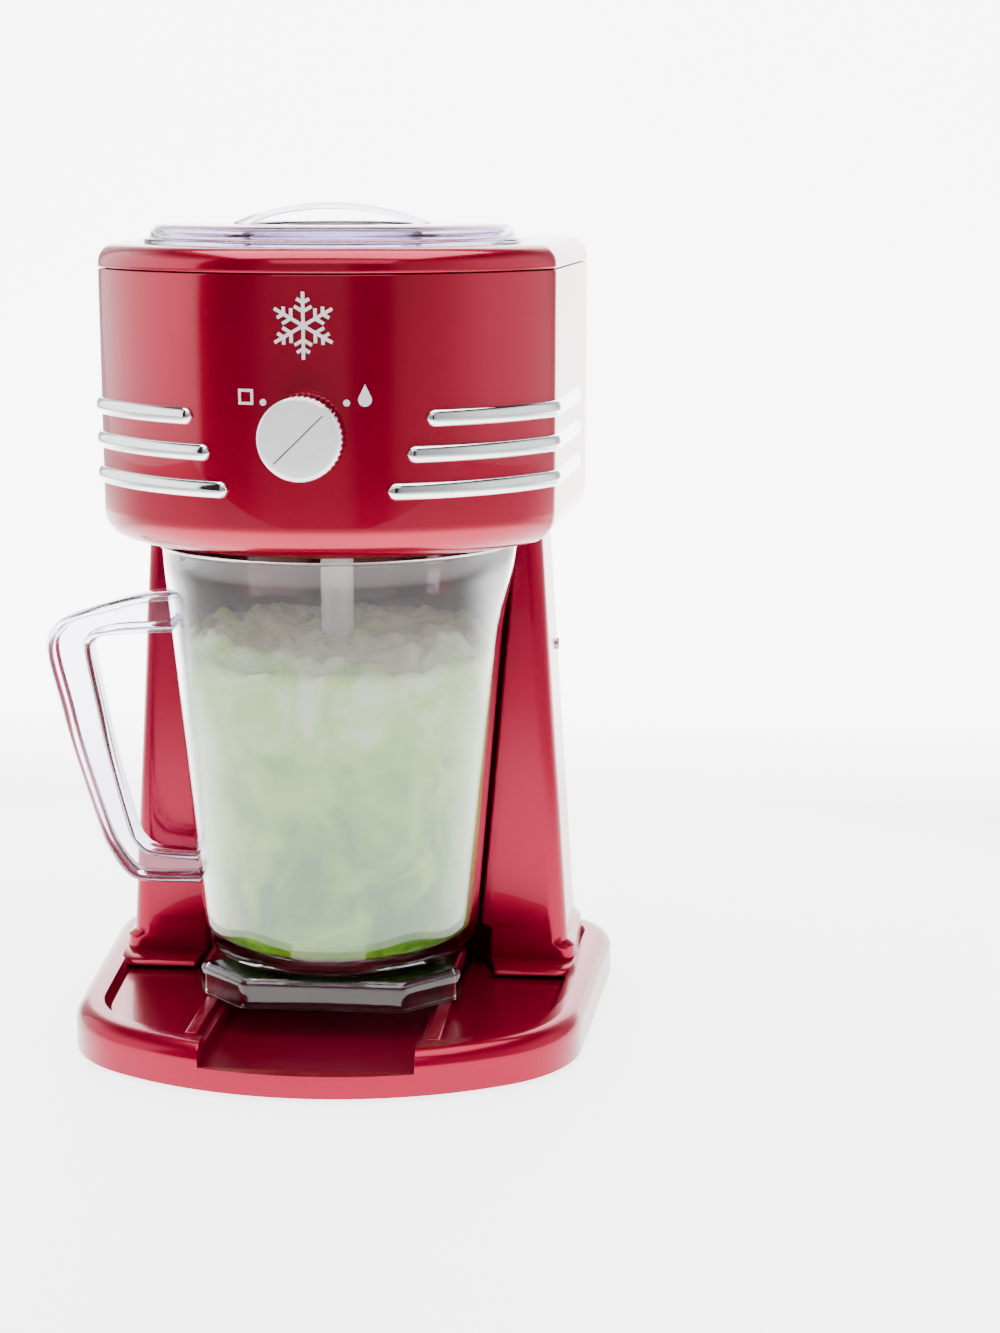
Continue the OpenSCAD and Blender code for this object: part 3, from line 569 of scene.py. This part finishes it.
def make_stage():
    """A pale sweep that curves up behind the machine."""
    half, near, far, height, bend = 2.4, -1.2, 2.6, 3.2, 1.2
    profile = [(near, 0.0)] + [(y, z + bend) for y, z in arc(far - bend, 0, bend, -90, 0, 24)]
    profile += [(far, height)]
    bm = bmesh.new()
    rows = [[bm.verts.new((x, y, z)) for y, z in profile] for x in (-half, half)]
    for i in range(len(profile) - 1):
        bm.faces.new((rows[0][i], rows[1][i], rows[1][i + 1], rows[0][i + 1]))
    link("studio_sweep", bm, floor_white(), 80)


# ---------------------------------------------------------------- head


def make_head():
    """The drum: rounded below, with a rolled lip at the seam, hollow, vented at the back."""
    edge = 16 * MM
    profile = [(20 * MM, HEAD_LOW)]
    profile += [(edge * (1 - math.sin(a)), HEAD_LOW + edge * (1 - math.cos(a)))
                for a in (math.radians(90 * i / 10) for i in range(11))]
    profile += [(0, mix(HEAD_LOW + edge, SEAM, t)) for t in (0.25, 0.5, 0.75)]
    profile += [(0, SEAM - 1.0 * MM), (0.25 * MM, SEAM - 0.3 * MM), (0.8 * MM, SEAM), (WALL, SEAM),
                (WALL, HEAD_LOW + edge), (20 * MM, HEAD_LOW + WALL)]
    bm = bmesh.new()
    loft(bm, [ring(HEAD, inset, z) for inset, z in profile], closed=True)
    head = link("head_drum", bm, RED)
    slot_half, slot_low, slot_high, past = 1.75 * MM, 288 * MM, 348 * MM, 8 * MM
    for x in (7 * MM * i for i in range(-6, 7)):
        lo = (x - slot_half, HEAD["rear"] - past, slot_low)
        hi = (x + slot_half, HEAD["rear"] + past, slot_high)
        cut(head, box_mesh("vent", lo, hi, RED))
    head.data.set_sharp_from_angle(angle=math.radians(35))
    fit(head, "housing", "red_shell", "head_shell")


def make_cap():
    """The cap: a fat bullnose round a flat top with a round mouth."""
    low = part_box("head_cap")[0][2]
    edge = 9 * MM
    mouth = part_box("hopper")[1][0] - 2.2 * MM
    outer = [(WALL, low), (0.8 * MM, low), (0.25 * MM, low + 0.2 * MM), (0, low + 0.8 * MM)]
    outer += [(edge * (1 - math.cos(a)), CAP_TOP - edge * (1 - math.sin(a)))
              for a in (math.radians(90 * i / 10) for i in range(11))]
    rings = [ring(HEAD, inset, z) for inset, z in outer]

    def mouth_ring(r, z):
        return [(r * x / math.hypot(x, y), r * y / math.hypot(x, y), z) for x, y in plan(HEAD, edge)]

    rings += [mouth_ring(mouth, CAP_TOP), mouth_ring(mouth, CAP_TOP - WALL)]
    rings += [ring(HEAD, edge, CAP_TOP - WALL), ring(HEAD, WALL + 1 * MM, CAP_TOP - WALL - 3 * MM)]
    bm = bmesh.new()
    loft(bm, rings, closed=True)
    cap = link("head_cap_shell", bm, RED)
    # hole that the interlock pin comes up through
    pin_lo, pin_hi = (Vector(c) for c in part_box("interlock_pin"))
    bm = bmesh.new()
    centre = (pin_lo + pin_hi) / 2
    hole_r = 2.1 * MM
    angles = [2 * math.pi * i / 32 for i in range(32)]
    circle = [(centre.x + hole_r * math.cos(a), centre.y + hole_r * math.sin(a)) for a in angles]
    loft(bm, [[(x, y, z) for x, y in circle] for z in (SEAM, CAP_TOP + 10 * MM)])
    cut(cap, link("pin_cutter", bm, RED))
    cap.data.set_sharp_from_angle(angle=math.radians(35))
    fit(cap, "housing", "red_shell", "head_cap")


# ---------------------------------------------------------------- trims

TRIM_BULGE = 2.6 * MM
TRIM_STEP = 1.5 * MM


def make_trim(side, number):
    """A half-round chrome bar that follows the head from its inner end round the corner."""
    node = f"trim_{'left' if side < 0 else 'right'}_{number}"
    lo, hi = (Vector(c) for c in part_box(node))
    z = (lo.z + hi.z) / 2
    half_h = (hi.z - lo.z) / 2
    inner = hi.x if side < 0 else lo.x
    half = [Vector(p) for p in plan(HEAD)[: FRONT_STEPS + CORNER_STEPS + SIDE_STEPS + 1]]
    start = abs(inner) + 0.5 * MM
    kept = [p for p in half if p.x > start and p.y < hi.y]
    before = half[half.index(kept[0]) - 1]
    first = before.lerp(kept[0], (start - before.x) / (kept[0].x - before.x))
    last = kept[-1] + (kept[-1] - kept[-2]).normalized() * (hi.y - kept[-1].y)
    route = resample([first] + kept + [last], TRIM_STEP)
    rings = []
    total = len(route) - 1
    for i, p in enumerate(route):
        ahead = (route[min(i + 1, total)] - route[max(i - 1, 0)]).normalized()
        out = Vector((ahead.y, -ahead.x))
        end = min(i, total - i) * TRIM_STEP
        size = math.sqrt(max(0.0, 1 - (1 - min(end / half_h, 1)) ** 2)) if end < half_h else 1.0
        size = max(size, 0.12)
        section = []
        for k in range(13):
            a = math.pi * k / 12
            up = -math.cos(a) * half_h * size
            bulge = math.sin(a) ** 0.8 * TRIM_BULGE * (0.4 + 0.6 * size)
            q = p + out * bulge
            section.append((side * q.x, q.y, z + up))
        rings.append(section)
    bm = bmesh.new()
    loft(bm, rings)
    fit(link(node + "_bar", bm, CHROME, 50), "housing", "chrome", node)


def resample(points, step):
    """Evenly spaced points along a polyline."""
    lengths = [0.0]
    for a, b in zip(points, points[1:]):
        lengths.append(lengths[-1] + (b - a).length)
    count = max(2, round(lengths[-1] / step))
    out = []
    k = 0
    for i in range(count + 1):
        at = lengths[-1] * i / count
        while k < len(points) - 2 and lengths[k + 1] < at:
            k += 1
        span = lengths[k + 1] - lengths[k]
        out.append(points[k].lerp(points[k + 1], (at - lengths[k]) / span if span else 0))
    return out


# ---------------------------------------------------------------- column


def make_column():
    """The column: flat wings either side of a recess that hugs the pitcher, on a rounded step."""
    lo, hi = (Vector(c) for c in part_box("column_shell"))
    low_w, high_w = hi.x, 98.5 * MM
    corner, edge, back_r = 9 * MM, 1.5 * MM, 26 * MM
    gap = 4 * MM
    pocket_r, pocket_top = 76.5 * MM, 41 * MM
    step_top, step_reach = 25.5 * MM, 15 * MM
    plinth, swell, blend = 10 * MM, 3.5 * MM, 3 * MM

    def outline(z):
        t = (z - lo.z) / (hi.z - lo.z)
        grow = swell * (1 - smooth((z - lo.z - plinth) / blend))
        w = min(mix(low_w, high_w, t) + grow, low_w + swell)
        lift = min(1, (z - lo.z) / (step_top - lo.z))
        front = lo.y - step_reach * math.sqrt(1 - lift * lift)
        above_pocket = smooth((z - pocket_top) / blend)
        r = mix(pocket_r, jug_radius(z) + gap, above_pocket)
        cx = math.sqrt((r + edge) ** 2 - (front + edge) ** 2)
        spread = math.degrees(math.atan2(front + edge, cx))
        points = arc(0, 0, r, 90, spread, 40)
        points += arc(cx, front + edge, edge, 180 + spread, 270, 5)[1:]
        points += arc(w - corner, front + corner, corner, 270, 360, 10)
        points += line((w, front + corner), (w, hi.y - back_r), 12)
        points += arc(w - back_r, hi.y - back_r, back_r, 0, 90, 12)[1:]
        points += line((w - back_r, hi.y), (0, hi.y), 10)
        return [(x, y, z) for x, y in points] + [(-x, y, z) for x, y in reversed(points[1:-1])]

    steps = [lo.z + (step_top - lo.z) * math.sin(math.radians(90 * i / 10)) for i in range(11)]
    levels = [step_top, lo.z + plinth + blend, pocket_top, pocket_top + blend, hi.z]
    for low, high, count in zip(levels, levels[1:], (6, 2, 6, 24)):
        steps += [mix(low, high, i / count) for i in range(1, count + 1)]
    bm = bmesh.new()
    loft(bm, [outline(z) for z in steps])
    fit(link("column_casing", bm, BODY_RED), "housing", "red_shell", "column_shell")


# ---------------------------------------------------------------- base


def make_base():
    """The base: a fat rolled rim round a sunken deck, broken at the front by a channel."""
    lo, hi = (Vector(c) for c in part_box("base_shell"))
    crest, bottom = hi.z, lo.z
    deck, floor, lip, sunk = 21.5 * MM, 10.5 * MM, 13 * MM, 2.5 * MM
    roll = 8.5 * MM
    profile = [(0, bottom), (0, crest - roll - 1 * MM)]
    profile += [(roll * (1 - math.cos(a)), crest - roll * (1 - math.sin(a)))
                for a in (math.radians(90 * i / 12) for i in range(13))]
    bm = bmesh.new()
    loft(bm, [ring(BASE, inset, z) for inset, z in profile])
    base = link("base_casing", bm, BODY_RED)
    # sunken deck with sloped sides
    bm = bmesh.new()
    loft(bm, [ring(BASE, 17 * MM, deck - sunk), ring(BASE, 12 * MM, crest + 2 * MM)])
    cut(base, link("deck_cutter", bm, BODY_RED))
    # channel, and the low lip across its mouth
    half = 50.5 * MM
    front, clear = -BASE["front"], 40 * MM
    for name, near, far, low in (("channel_cutter", front + 9 * MM, 58 * MM, floor),
                                 ("mouth_cutter", front - 9 * MM, front + 12 * MM, lip)):
        cut(base, box_mesh(name, (-half, near, low), (half, far, clear), BODY_RED))
    soften(base, 1.6 * MM, 4, 28)
    # room underneath for the plate
    bm = bmesh.new()
    plate_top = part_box("base_plate")[1][2]
    loft(bm, [ring(BASE, WALL, z) for z in (bottom - 1 * MM, plate_top + 0.3 * MM)])
    cut(base, link("underside_cutter", bm, BODY_RED))
    fit(base, "housing", "red_shell", "base_shell")
    # the two rails that the pitcher's foot slides on
    inner, outer, near, far = 54 * MM, 60 * MM, -98 * MM, 60 * MM
    for name, left, right in (("left", -outer, -inner), ("right", inner, outer)):
        lo, hi = (left, near, deck - sunk), (right, far, crest)
        rail = box_mesh(f"base_rail_{name}", lo, hi, BODY_RED)
        soften(rail, 0.8 * MM)
        fit(rail, "housing", "red_shell")


# ---------------------------------------------------------------- pitcher

JUG_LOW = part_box("pitcher_body")[0][2]
JUG_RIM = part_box("pitcher_body")[1][2]
JUG_R_LOW = 67.3 * MM
JUG_R_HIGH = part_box("pitcher_body")[1][1] - 1 * MM
JUG_WALL = 2.6 * MM
JUG_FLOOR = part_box("pitcher_pin")[0][2]
SPOUT_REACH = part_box("pitcher_body")[1][0] - JUG_R_HIGH


def jug_radius(z):
    """The outer radius of the pitcher's tapered wall."""
    return mix(JUG_R_LOW, JUG_R_HIGH, (z - JUG_LOW) / (JUG_RIM - JUG_LOW))


SPOUT_DEPTH = 44 * MM
SPOUT_SPREAD = 0.2


def jug_ring(z, inset, steps=144):
    """A ring of the pitcher's wall, with the pour spout swelling out on the right."""
    points = []
    for i in range(steps):
        a = 2 * math.pi * i / steps
        off = math.atan2(math.sin(a), math.cos(a))
        rise = smooth((z - (JUG_RIM - SPOUT_DEPTH)) / SPOUT_DEPTH)
        swell = rise * math.exp(-((off / SPOUT_SPREAD) ** 2))
        r = jug_radius(z) - inset + SPOUT_REACH * swell
        points.append((r * math.cos(a), r * math.sin(a), z))
    return points


def make_pitcher():
    """The clear jug: tapered wall with a rolled rim, rounded bottom and pour spout."""
    bend = 11 * MM
    rings = []
    for i in range(9):
        a = math.radians(90 * i / 8)
        z = JUG_LOW + bend * (1 - math.cos(a))
        rings.append(jug_ring(z, bend * (1 - math.sin(a))))
    rings += [jug_ring(mix(JUG_LOW + bend, JUG_RIM - 3 * MM, i / 20), 0) for i in range(1, 21)]
    bead, lip, middle = 1.8 * MM, 0.9 * MM, JUG_WALL / 2
    for i in range(7):
        a = math.radians(180 * i / 6)
        rings.append(jug_ring(JUG_RIM - bead + bead * math.sin(a), middle - (middle + lip) * math.cos(a)))
    rings += [jug_ring(mix(JUG_RIM - 3 * MM, JUG_FLOOR + bend, i / 20), JUG_WALL) for i in range(1, 21)]
    for i in range(1, 9):
        a = math.radians(90 - 90 * i / 8)
        z = JUG_FLOOR + bend * (1 - math.cos(a))
        rings.append(jug_ring(z, JUG_WALL + bend * (1 - math.sin(a))))
    bm = bmesh.new()
    rows = loft(bm, rings, caps=False)
    fill_to_hub(bm, rows[0], JUG_LOW)
    fill_to_hub(bm, rows[-1], JUG_FLOOR)
    jug = link("pitcher_jug", bm, CLEAR, 60)
    # notch in the rear rim that passes under the drive socket
    notch_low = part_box("drive_socket")[0][2] - 0.4 * MM
    notch_half, past_wall, past_rim = 13 * MM, 110 * MM, JUG_RIM + 10 * MM
    near_corner, far_corner = (-notch_half, JUG_R_LOW, notch_low), (notch_half, past_wall, past_rim)
    cut(jug, box_mesh("notch_cutter", near_corner, far_corner, CLEAR))
    jug.data.set_sharp_from_angle(angle=math.radians(60))
    fit(jug, "pitcher", "clear_pitcher", "pitcher_body")


def octagon(half, flat, z):
    """Octagon with wide sides and rounded corners."""
    rounding = 2.4 * MM
    corners = [(-flat, -half), (flat, -half), (half, -flat), (half, flat),
               (flat, half), (-flat, half), (-half, flat), (-half, -flat)]
    points = []
    for k, c in enumerate(corners):
        before, after = Vector(corners[k - 1]), Vector(corners[(k + 1) % 8])
        here = Vector(c)
        a = here + (before - here).normalized() * rounding
        b = here + (after - here).normalized() * rounding
        for t in (0, 0.25, 0.5, 0.75, 1):
            q = a.lerp(here, t).lerp(here.lerp(b, t), t)
            points.append((q.x, q.y, z))
    return points


def make_foot():
    """The clear octagonal foot: a hollow, bevelled block with a thick top."""
    lo, hi = (Vector(c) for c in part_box("pitcher_foot"))
    half, flat = hi.x, 39.5 * MM
    wall, top, land = 3.2 * MM, 2.5 * MM, 20 * MM
    steps = [
        (wall, lo.z), (0.8 * MM, lo.z), (0, lo.z + 0.8 * MM), (0, hi.z - 3.2 * MM),
        (0.5 * MM, hi.z - 1.4 * MM), (2.2 * MM, hi.z), (land, hi.z + 0.4 * MM),
        (land, hi.z - top), (wall + 1 * MM, hi.z - top), (wall, hi.z - top - 1 * MM),
    ]
    # an octagon's wide sides shorten by this share of an inset
    share = 0.42
    bm = bmesh.new()
    loft(bm, [octagon(half - inset, flat - inset * share, z) for inset, z in steps], closed=True)
    fit(link("pitcher_foot_block", bm, CLEAR, 40), "pitcher", "clear_pitcher", "pitcher_foot")


# the handle's edges, as (x, z) in mm, from its upper root round to its lower root
HANDLE_OUTER = [
    (-80.5, 217), (-100, 214.5), (-131, 205), (-141, 198), (-145, 187), (-139, 160), (-133.5, 138),
    (-122.5, 102), (-117, 87), (-108, 73.5), (-98, 69.5), (-69, 69),
]
HANDLE_INNER = [
    (-81.5, 196.5), (-100, 195.5), (-116, 194), (-121, 191), (-122, 186), (-117, 159), (-112, 133),
    (-103, 98), (-99, 90), (-94, 86.5), (-86, 85.5), (-71, 85),
]


def spline(points, per_span):
    """Catmull-Rom points through a chain."""
    pts = [Vector(p) for p in points]
    pts = [pts[0] * 2 - pts[1]] + pts + [pts[-1] * 2 - pts[-2]]
    out = []
    for k in range(1, len(pts) - 2):
        p0, p1, p2, p3 = pts[k - 1 : k + 3]
        for i in range(per_span):
            t = i / per_span
            out.append(0.5 * (2 * p1 + (p2 - p0) * t + (2 * p0 - 5 * p1 + 4 * p2 - p3) * t * t
                              + (3 * p1 - p0 - 3 * p2 + p3) * t ** 3))
    out.append(pts[-2])
    return out


def make_handle():
    """The clear handle: two rounded rims joined by a thin web."""
    outer, inner = spline(HANDLE_OUTER, 5), spline(HANDLE_INNER, 5)
    rim, rim_half, web_half, root = 4.4, 7.2, 1.8, 0.8
    bend = rim / 2
    rings = []
    for o, i in zip(outer, inner):
        across = i - o
        width = across.length
        unit = across / width

        def lobe(start, turn):
            """Half of a rounded rim, starting at distance start across the handle."""
            return [(start + turn * bend * (1 - math.cos(a)), rim_half - bend + bend * math.sin(a))
                    for a in (math.radians(30 * k) for k in range(7))]

        upper = lobe(0, 1) + [(rim + root, web_half), (width - rim - root, web_half)]
        upper += reversed(lobe(width, -1))
        section = upper + [(u, -v) for u, v in reversed(upper)]
        rings.append([((o.x + unit.x * u) * MM, v * MM, (o.y + unit.y * u) * MM) for u, v in section])
    bm = bmesh.new()
    loft(bm, rings)
    fit(link("pitcher_grip", bm, GRIP_CLEAR, 50), "pitcher", "clear_pitcher", "pitcher_handle")


def make_slush():
    """The drink: fills the jug to a heaped, lumpy top of crushed ice."""
    level, clear, bend, gap = 196 * MM, 0.5 * MM, 10.5 * MM, 1.6 * MM
    steps, bend_rings, wall_rings, rounds = 128, 9, 24, 46
    bottom = JUG_FLOOR + gap
    rings = []
    for i in range(bend_rings):
        a = math.radians(90 * i / (bend_rings - 1))
        z = bottom + bend * (1 - math.cos(a))
        rings.append(jug_ring(z, JUG_WALL + clear + bend * (1 - math.sin(a)), steps))
    edge_z = level - 4 * MM
    for i in range(1, wall_rings + 1):
        rings.append(jug_ring(mix(bottom + bend, edge_z, i / wall_rings), JUG_WALL + clear, steps))
    edge_r = jug_radius(edge_z) - JUG_WALL - clear
    for k in range(1, rounds):
        rings.append(oval(edge_r * (1 - k / rounds), edge_r * (1 - k / rounds), edge_z, steps))
    bm = bmesh.new()
    rows = loft(bm, rings, caps=False)
    # the top surface heaps towards the middle, with broad waves, lumps of ice and grit
    for row in rows[bend_rings + wall_rings - 1:]:
        for v in row:
            p = Vector((v.co.x, v.co.y, 0))
            near = smooth((edge_r - p.length) / (9 * MM))
            broad = noise.noise(p * 38 + Vector((4.1, 0.3, 7.7))) * 7 * MM
            lumps = abs(noise.noise(p * 95 + Vector((1.3, 8.2, 2.6)))) * 9 * MM
            grit = noise.fractal(p * 420, 0.8, 2.1, 4) * 1.1 * MM
            heap = mix(level - 6 * MM, level + 2 * MM, near)
            v.co.z = heap + (broad + lumps) * (0.35 + 0.65 * near) + grit
    fill_to_hub(bm, rows[0], bottom)
    fill_to_hub(bm, rows[-1], rows[-1][0].co.z)
    fit(link("lime_slush", bm, SLUSH, 80), "pitcher", "clear_pitcher")


# ---------------------------------------------------------------- lid


def make_lid():
    """The clear lid: flange, rolled shoulder, flat top and a finger well, open underneath."""
    lo, hi = (Vector(c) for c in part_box("hopper_lid"))
    a, b, low, top = hi.x, hi.y, lo.z, hi.z
    step, roll, skin = 3 * MM, 6 * MM, 2.2 * MM
    well, well_low, floor = 42 * MM, low + 3 * MM, 1.6 * MM

    def rim(inset, up):
        """Ring inset from the flange's edge, at a height above it."""
        return oval(a - inset, b - inset, low + up)

    def round_well(grow, z):
        """Circle larger than the finger well by grow."""
        return oval(well + grow, well + grow, z)

    rings = [
        rim(0, 0), rim(0, 1.4 * MM), rim(0.6 * MM, 2.0 * MM), rim(step - 0.8 * MM, 2.2 * MM), rim(step, step),
    ]
    for i in range(1, 9):
        t = math.radians(90 * i / 8)
        rings.append(rim(step + roll * (1 - math.cos(t)), step + (top - low - step) * math.sin(t)))
    rings += [
        round_well(6 * MM, top), round_well(1 * MM, top - 0.1 * MM), round_well(0, top - 0.9 * MM),
        round_well(-2.4 * MM, well_low + 1.2 * MM), round_well(-4 * MM, well_low),
        round_well(-well / 2, well_low),
    ]
    under = [
        round_well(-well / 2, well_low - floor), round_well(-3 * MM, well_low - floor),
        round_well(-0.4 * MM, well_low - 0.2 * MM), round_well(2 * MM, top - skin),
        rim(step + roll, top - skin - low), rim(step + skin + 1 * MM, step), rim(step + skin, 0),
    ]
    bm = bmesh.new()
    rows = loft(bm, rings, caps=False)
    under_rows = loft(bm, under, caps=False)
    fill_to_hub(bm, rows[-1], well_low)
    fill_to_hub(bm, under_rows[0], well_low - floor)
    for i in range(len(rows[0])):
        j = (i + 1) % len(rows[0])
        bm.faces.new((rows[0][i], rows[0][j], under_rows[-1][j], under_rows[-1][i]))
    fit(link("lid_dome", bm, LID_CLEAR, 50), "lid", "clear_lid", "hopper_lid")


def make_lid_arch():
    """The arched strip that the lid is lifted by."""
    lo, hi = (Vector(c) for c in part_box("lid_handle"))
    half, rise, thick = hi.x, hi.z - lo.z, 3 * MM
    r = (half ** 2 + rise ** 2) / (2 * rise)
    spread = math.asin(half / r) * 1.01
    width = hi.y
    outline = [(-0.9, -1), (0.9, -1), (0.98, -0.6), (1, 0), (0.98, 0.6),
               (0.9, 1), (-0.9, 1), (-0.98, 0.6), (-1, 0), (-0.98, -0.6)]
    section = [(u * width, v * thick / 2) for u, v in outline]
    rings = []
    for i in range(49):
        t = mix(-spread, spread, i / 48)
        taper = 1 - 0.25 * abs(t / spread) ** 3
        mid = hi.z - thick / 2 - r * (1 - math.cos(t))
        rings.append([((r + v) * math.sin(t), u * taper, mid + v * math.cos(t)) for u, v in section])
    bm = bmesh.new()
    loft(bm, rings)
    fit(link("lid_arch", bm, LID_CLEAR, 40), "lid", "clear_lid", "lid_handle")


# ---------------------------------------------------------------- knob


def turned(name, profile, material, steps, wobble, node):
    """A turned piece on the knob's axis: profile of (radius, distance towards the front)."""
    bm = bmesh.new()
    lathe(bm, profile, steps, wobble)
    for v in bm.verts:
        v.co = Vector((v.co.x, -v.co.z, KNOB_Z + v.co.y))
    fit(link(name, bm, material, 40), "knob", "chrome", node)


def make_knob():
    """The mode knob: fluted skirt and a satin disc with a fine line across it."""
    lo, hi = (Vector(c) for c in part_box("knob_skirt"))
    back, front, r = -hi.y, -lo.y, hi.x
    flutes, depth = 44, 0.55 * MM

    def flute(a, radius, z):
        """How far the skirt moves in at an angle. Its ends and its middle stay round."""
        if radius < r * 0.93 or z > front - 1.4 * MM:
            return 0.0
        return -depth * (0.5 + 0.5 * math.cos(flutes * a)) ** 2

    skirt = [
        (0, back + 6 * MM), (12.4 * MM, back + 6 * MM), (13 * MM, back), (r - 0.8 * MM, back),
        (r, back + 0.8 * MM), (r, back + 4 * MM), (r, front - 5 * MM), (r, front - 1.5 * MM),
        (r - 0.5 * MM, front - 0.6 * MM), (r - 1.2 * MM, front), (0, front),
    ]
    turned("knob_fluted_skirt", skirt, CHROME, flutes * 8, flute, "knob_skirt")
    face_lo, face_hi = (Vector(c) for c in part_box("knob_face"))
    start, end, fr = -face_hi.y, -face_lo.y, 18.8 * MM
    disc = [
        (0, start), (fr - 0.5 * MM, start), (fr, start + 0.5 * MM), (fr, end - 1.4 * MM),
        (fr - 0.4 * MM, end - 0.7 * MM), (fr - 1.1 * MM, end - 0.25 * MM), (fr - 2.2 * MM, end),
        (fr * 0.5, end), (0, end),
    ]
    turned("knob_disc", disc, KNOB_METAL, 160, None, "knob_face")
    # the line is inlaid at 46 degrees, level with the disc
    bm = bmesh.new()
    bmesh.ops.create_cube(bm, size=1)
    tilt = math.radians(46)
    wide, long, proud = 0.55 * MM, 31 * MM, 0.1 * MM
    for v in bm.verts:
        u, w, d = v.co.x * wide, v.co.z * long, end + v.co.y * proud
        x = u * math.cos(tilt) + w * math.sin(tilt)
        v.co = Vector((x, -d, KNOB_Z - u * math.sin(tilt) + w * math.cos(tilt)))
    fit(link("knob_line", bm, BLACK), "knob", "black_plastic", "knob_pointer")


def make_interlock_coil():
    """The interlock's return spring, which is squashed as the pin goes down."""
    lo, hi = (Vector(c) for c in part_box("interlock_spring"))
    centre = (lo + hi) / 2
    wire = 0.45 * MM
    radius = (hi.x - lo.x) / 2 - wire
    turns, steps, sides = 5, 36, 10
    rings = []
    for i in range(turns * steps + 1):
        a = 2 * math.pi * i / steps
        z = mix(lo.z + wire, hi.z - wire, i / (turns * steps))
        section = []
        for k in range(sides):
            b = 2 * math.pi * k / sides
            r = radius + wire * math.cos(b)
            x, y = centre.x + r * math.cos(a), centre.y + r * math.sin(a)
            section.append((x, y, z + wire * math.sin(b)))
        rings.append(section)
    bm = bmesh.new()
    loft(bm, rings)
    coil = link("interlock_coil", bm, STEEL, 60)
    fit(coil, "housing", "steel", "interlock_spring")
    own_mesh(coil)


# ---------------------------------------------------------------- assembly

make_camera()
make_lights()
dress_nodes()
make_stage()
make_head()
make_cap()
for number in (1, 2, 3):
    make_trim(-1, number)
    make_trim(1, number)
make_column()
make_base()
make_pitcher()
make_foot()
make_handle()
make_slush()
make_lid()
make_lid_arch()
make_knob()
make_interlock_coil()
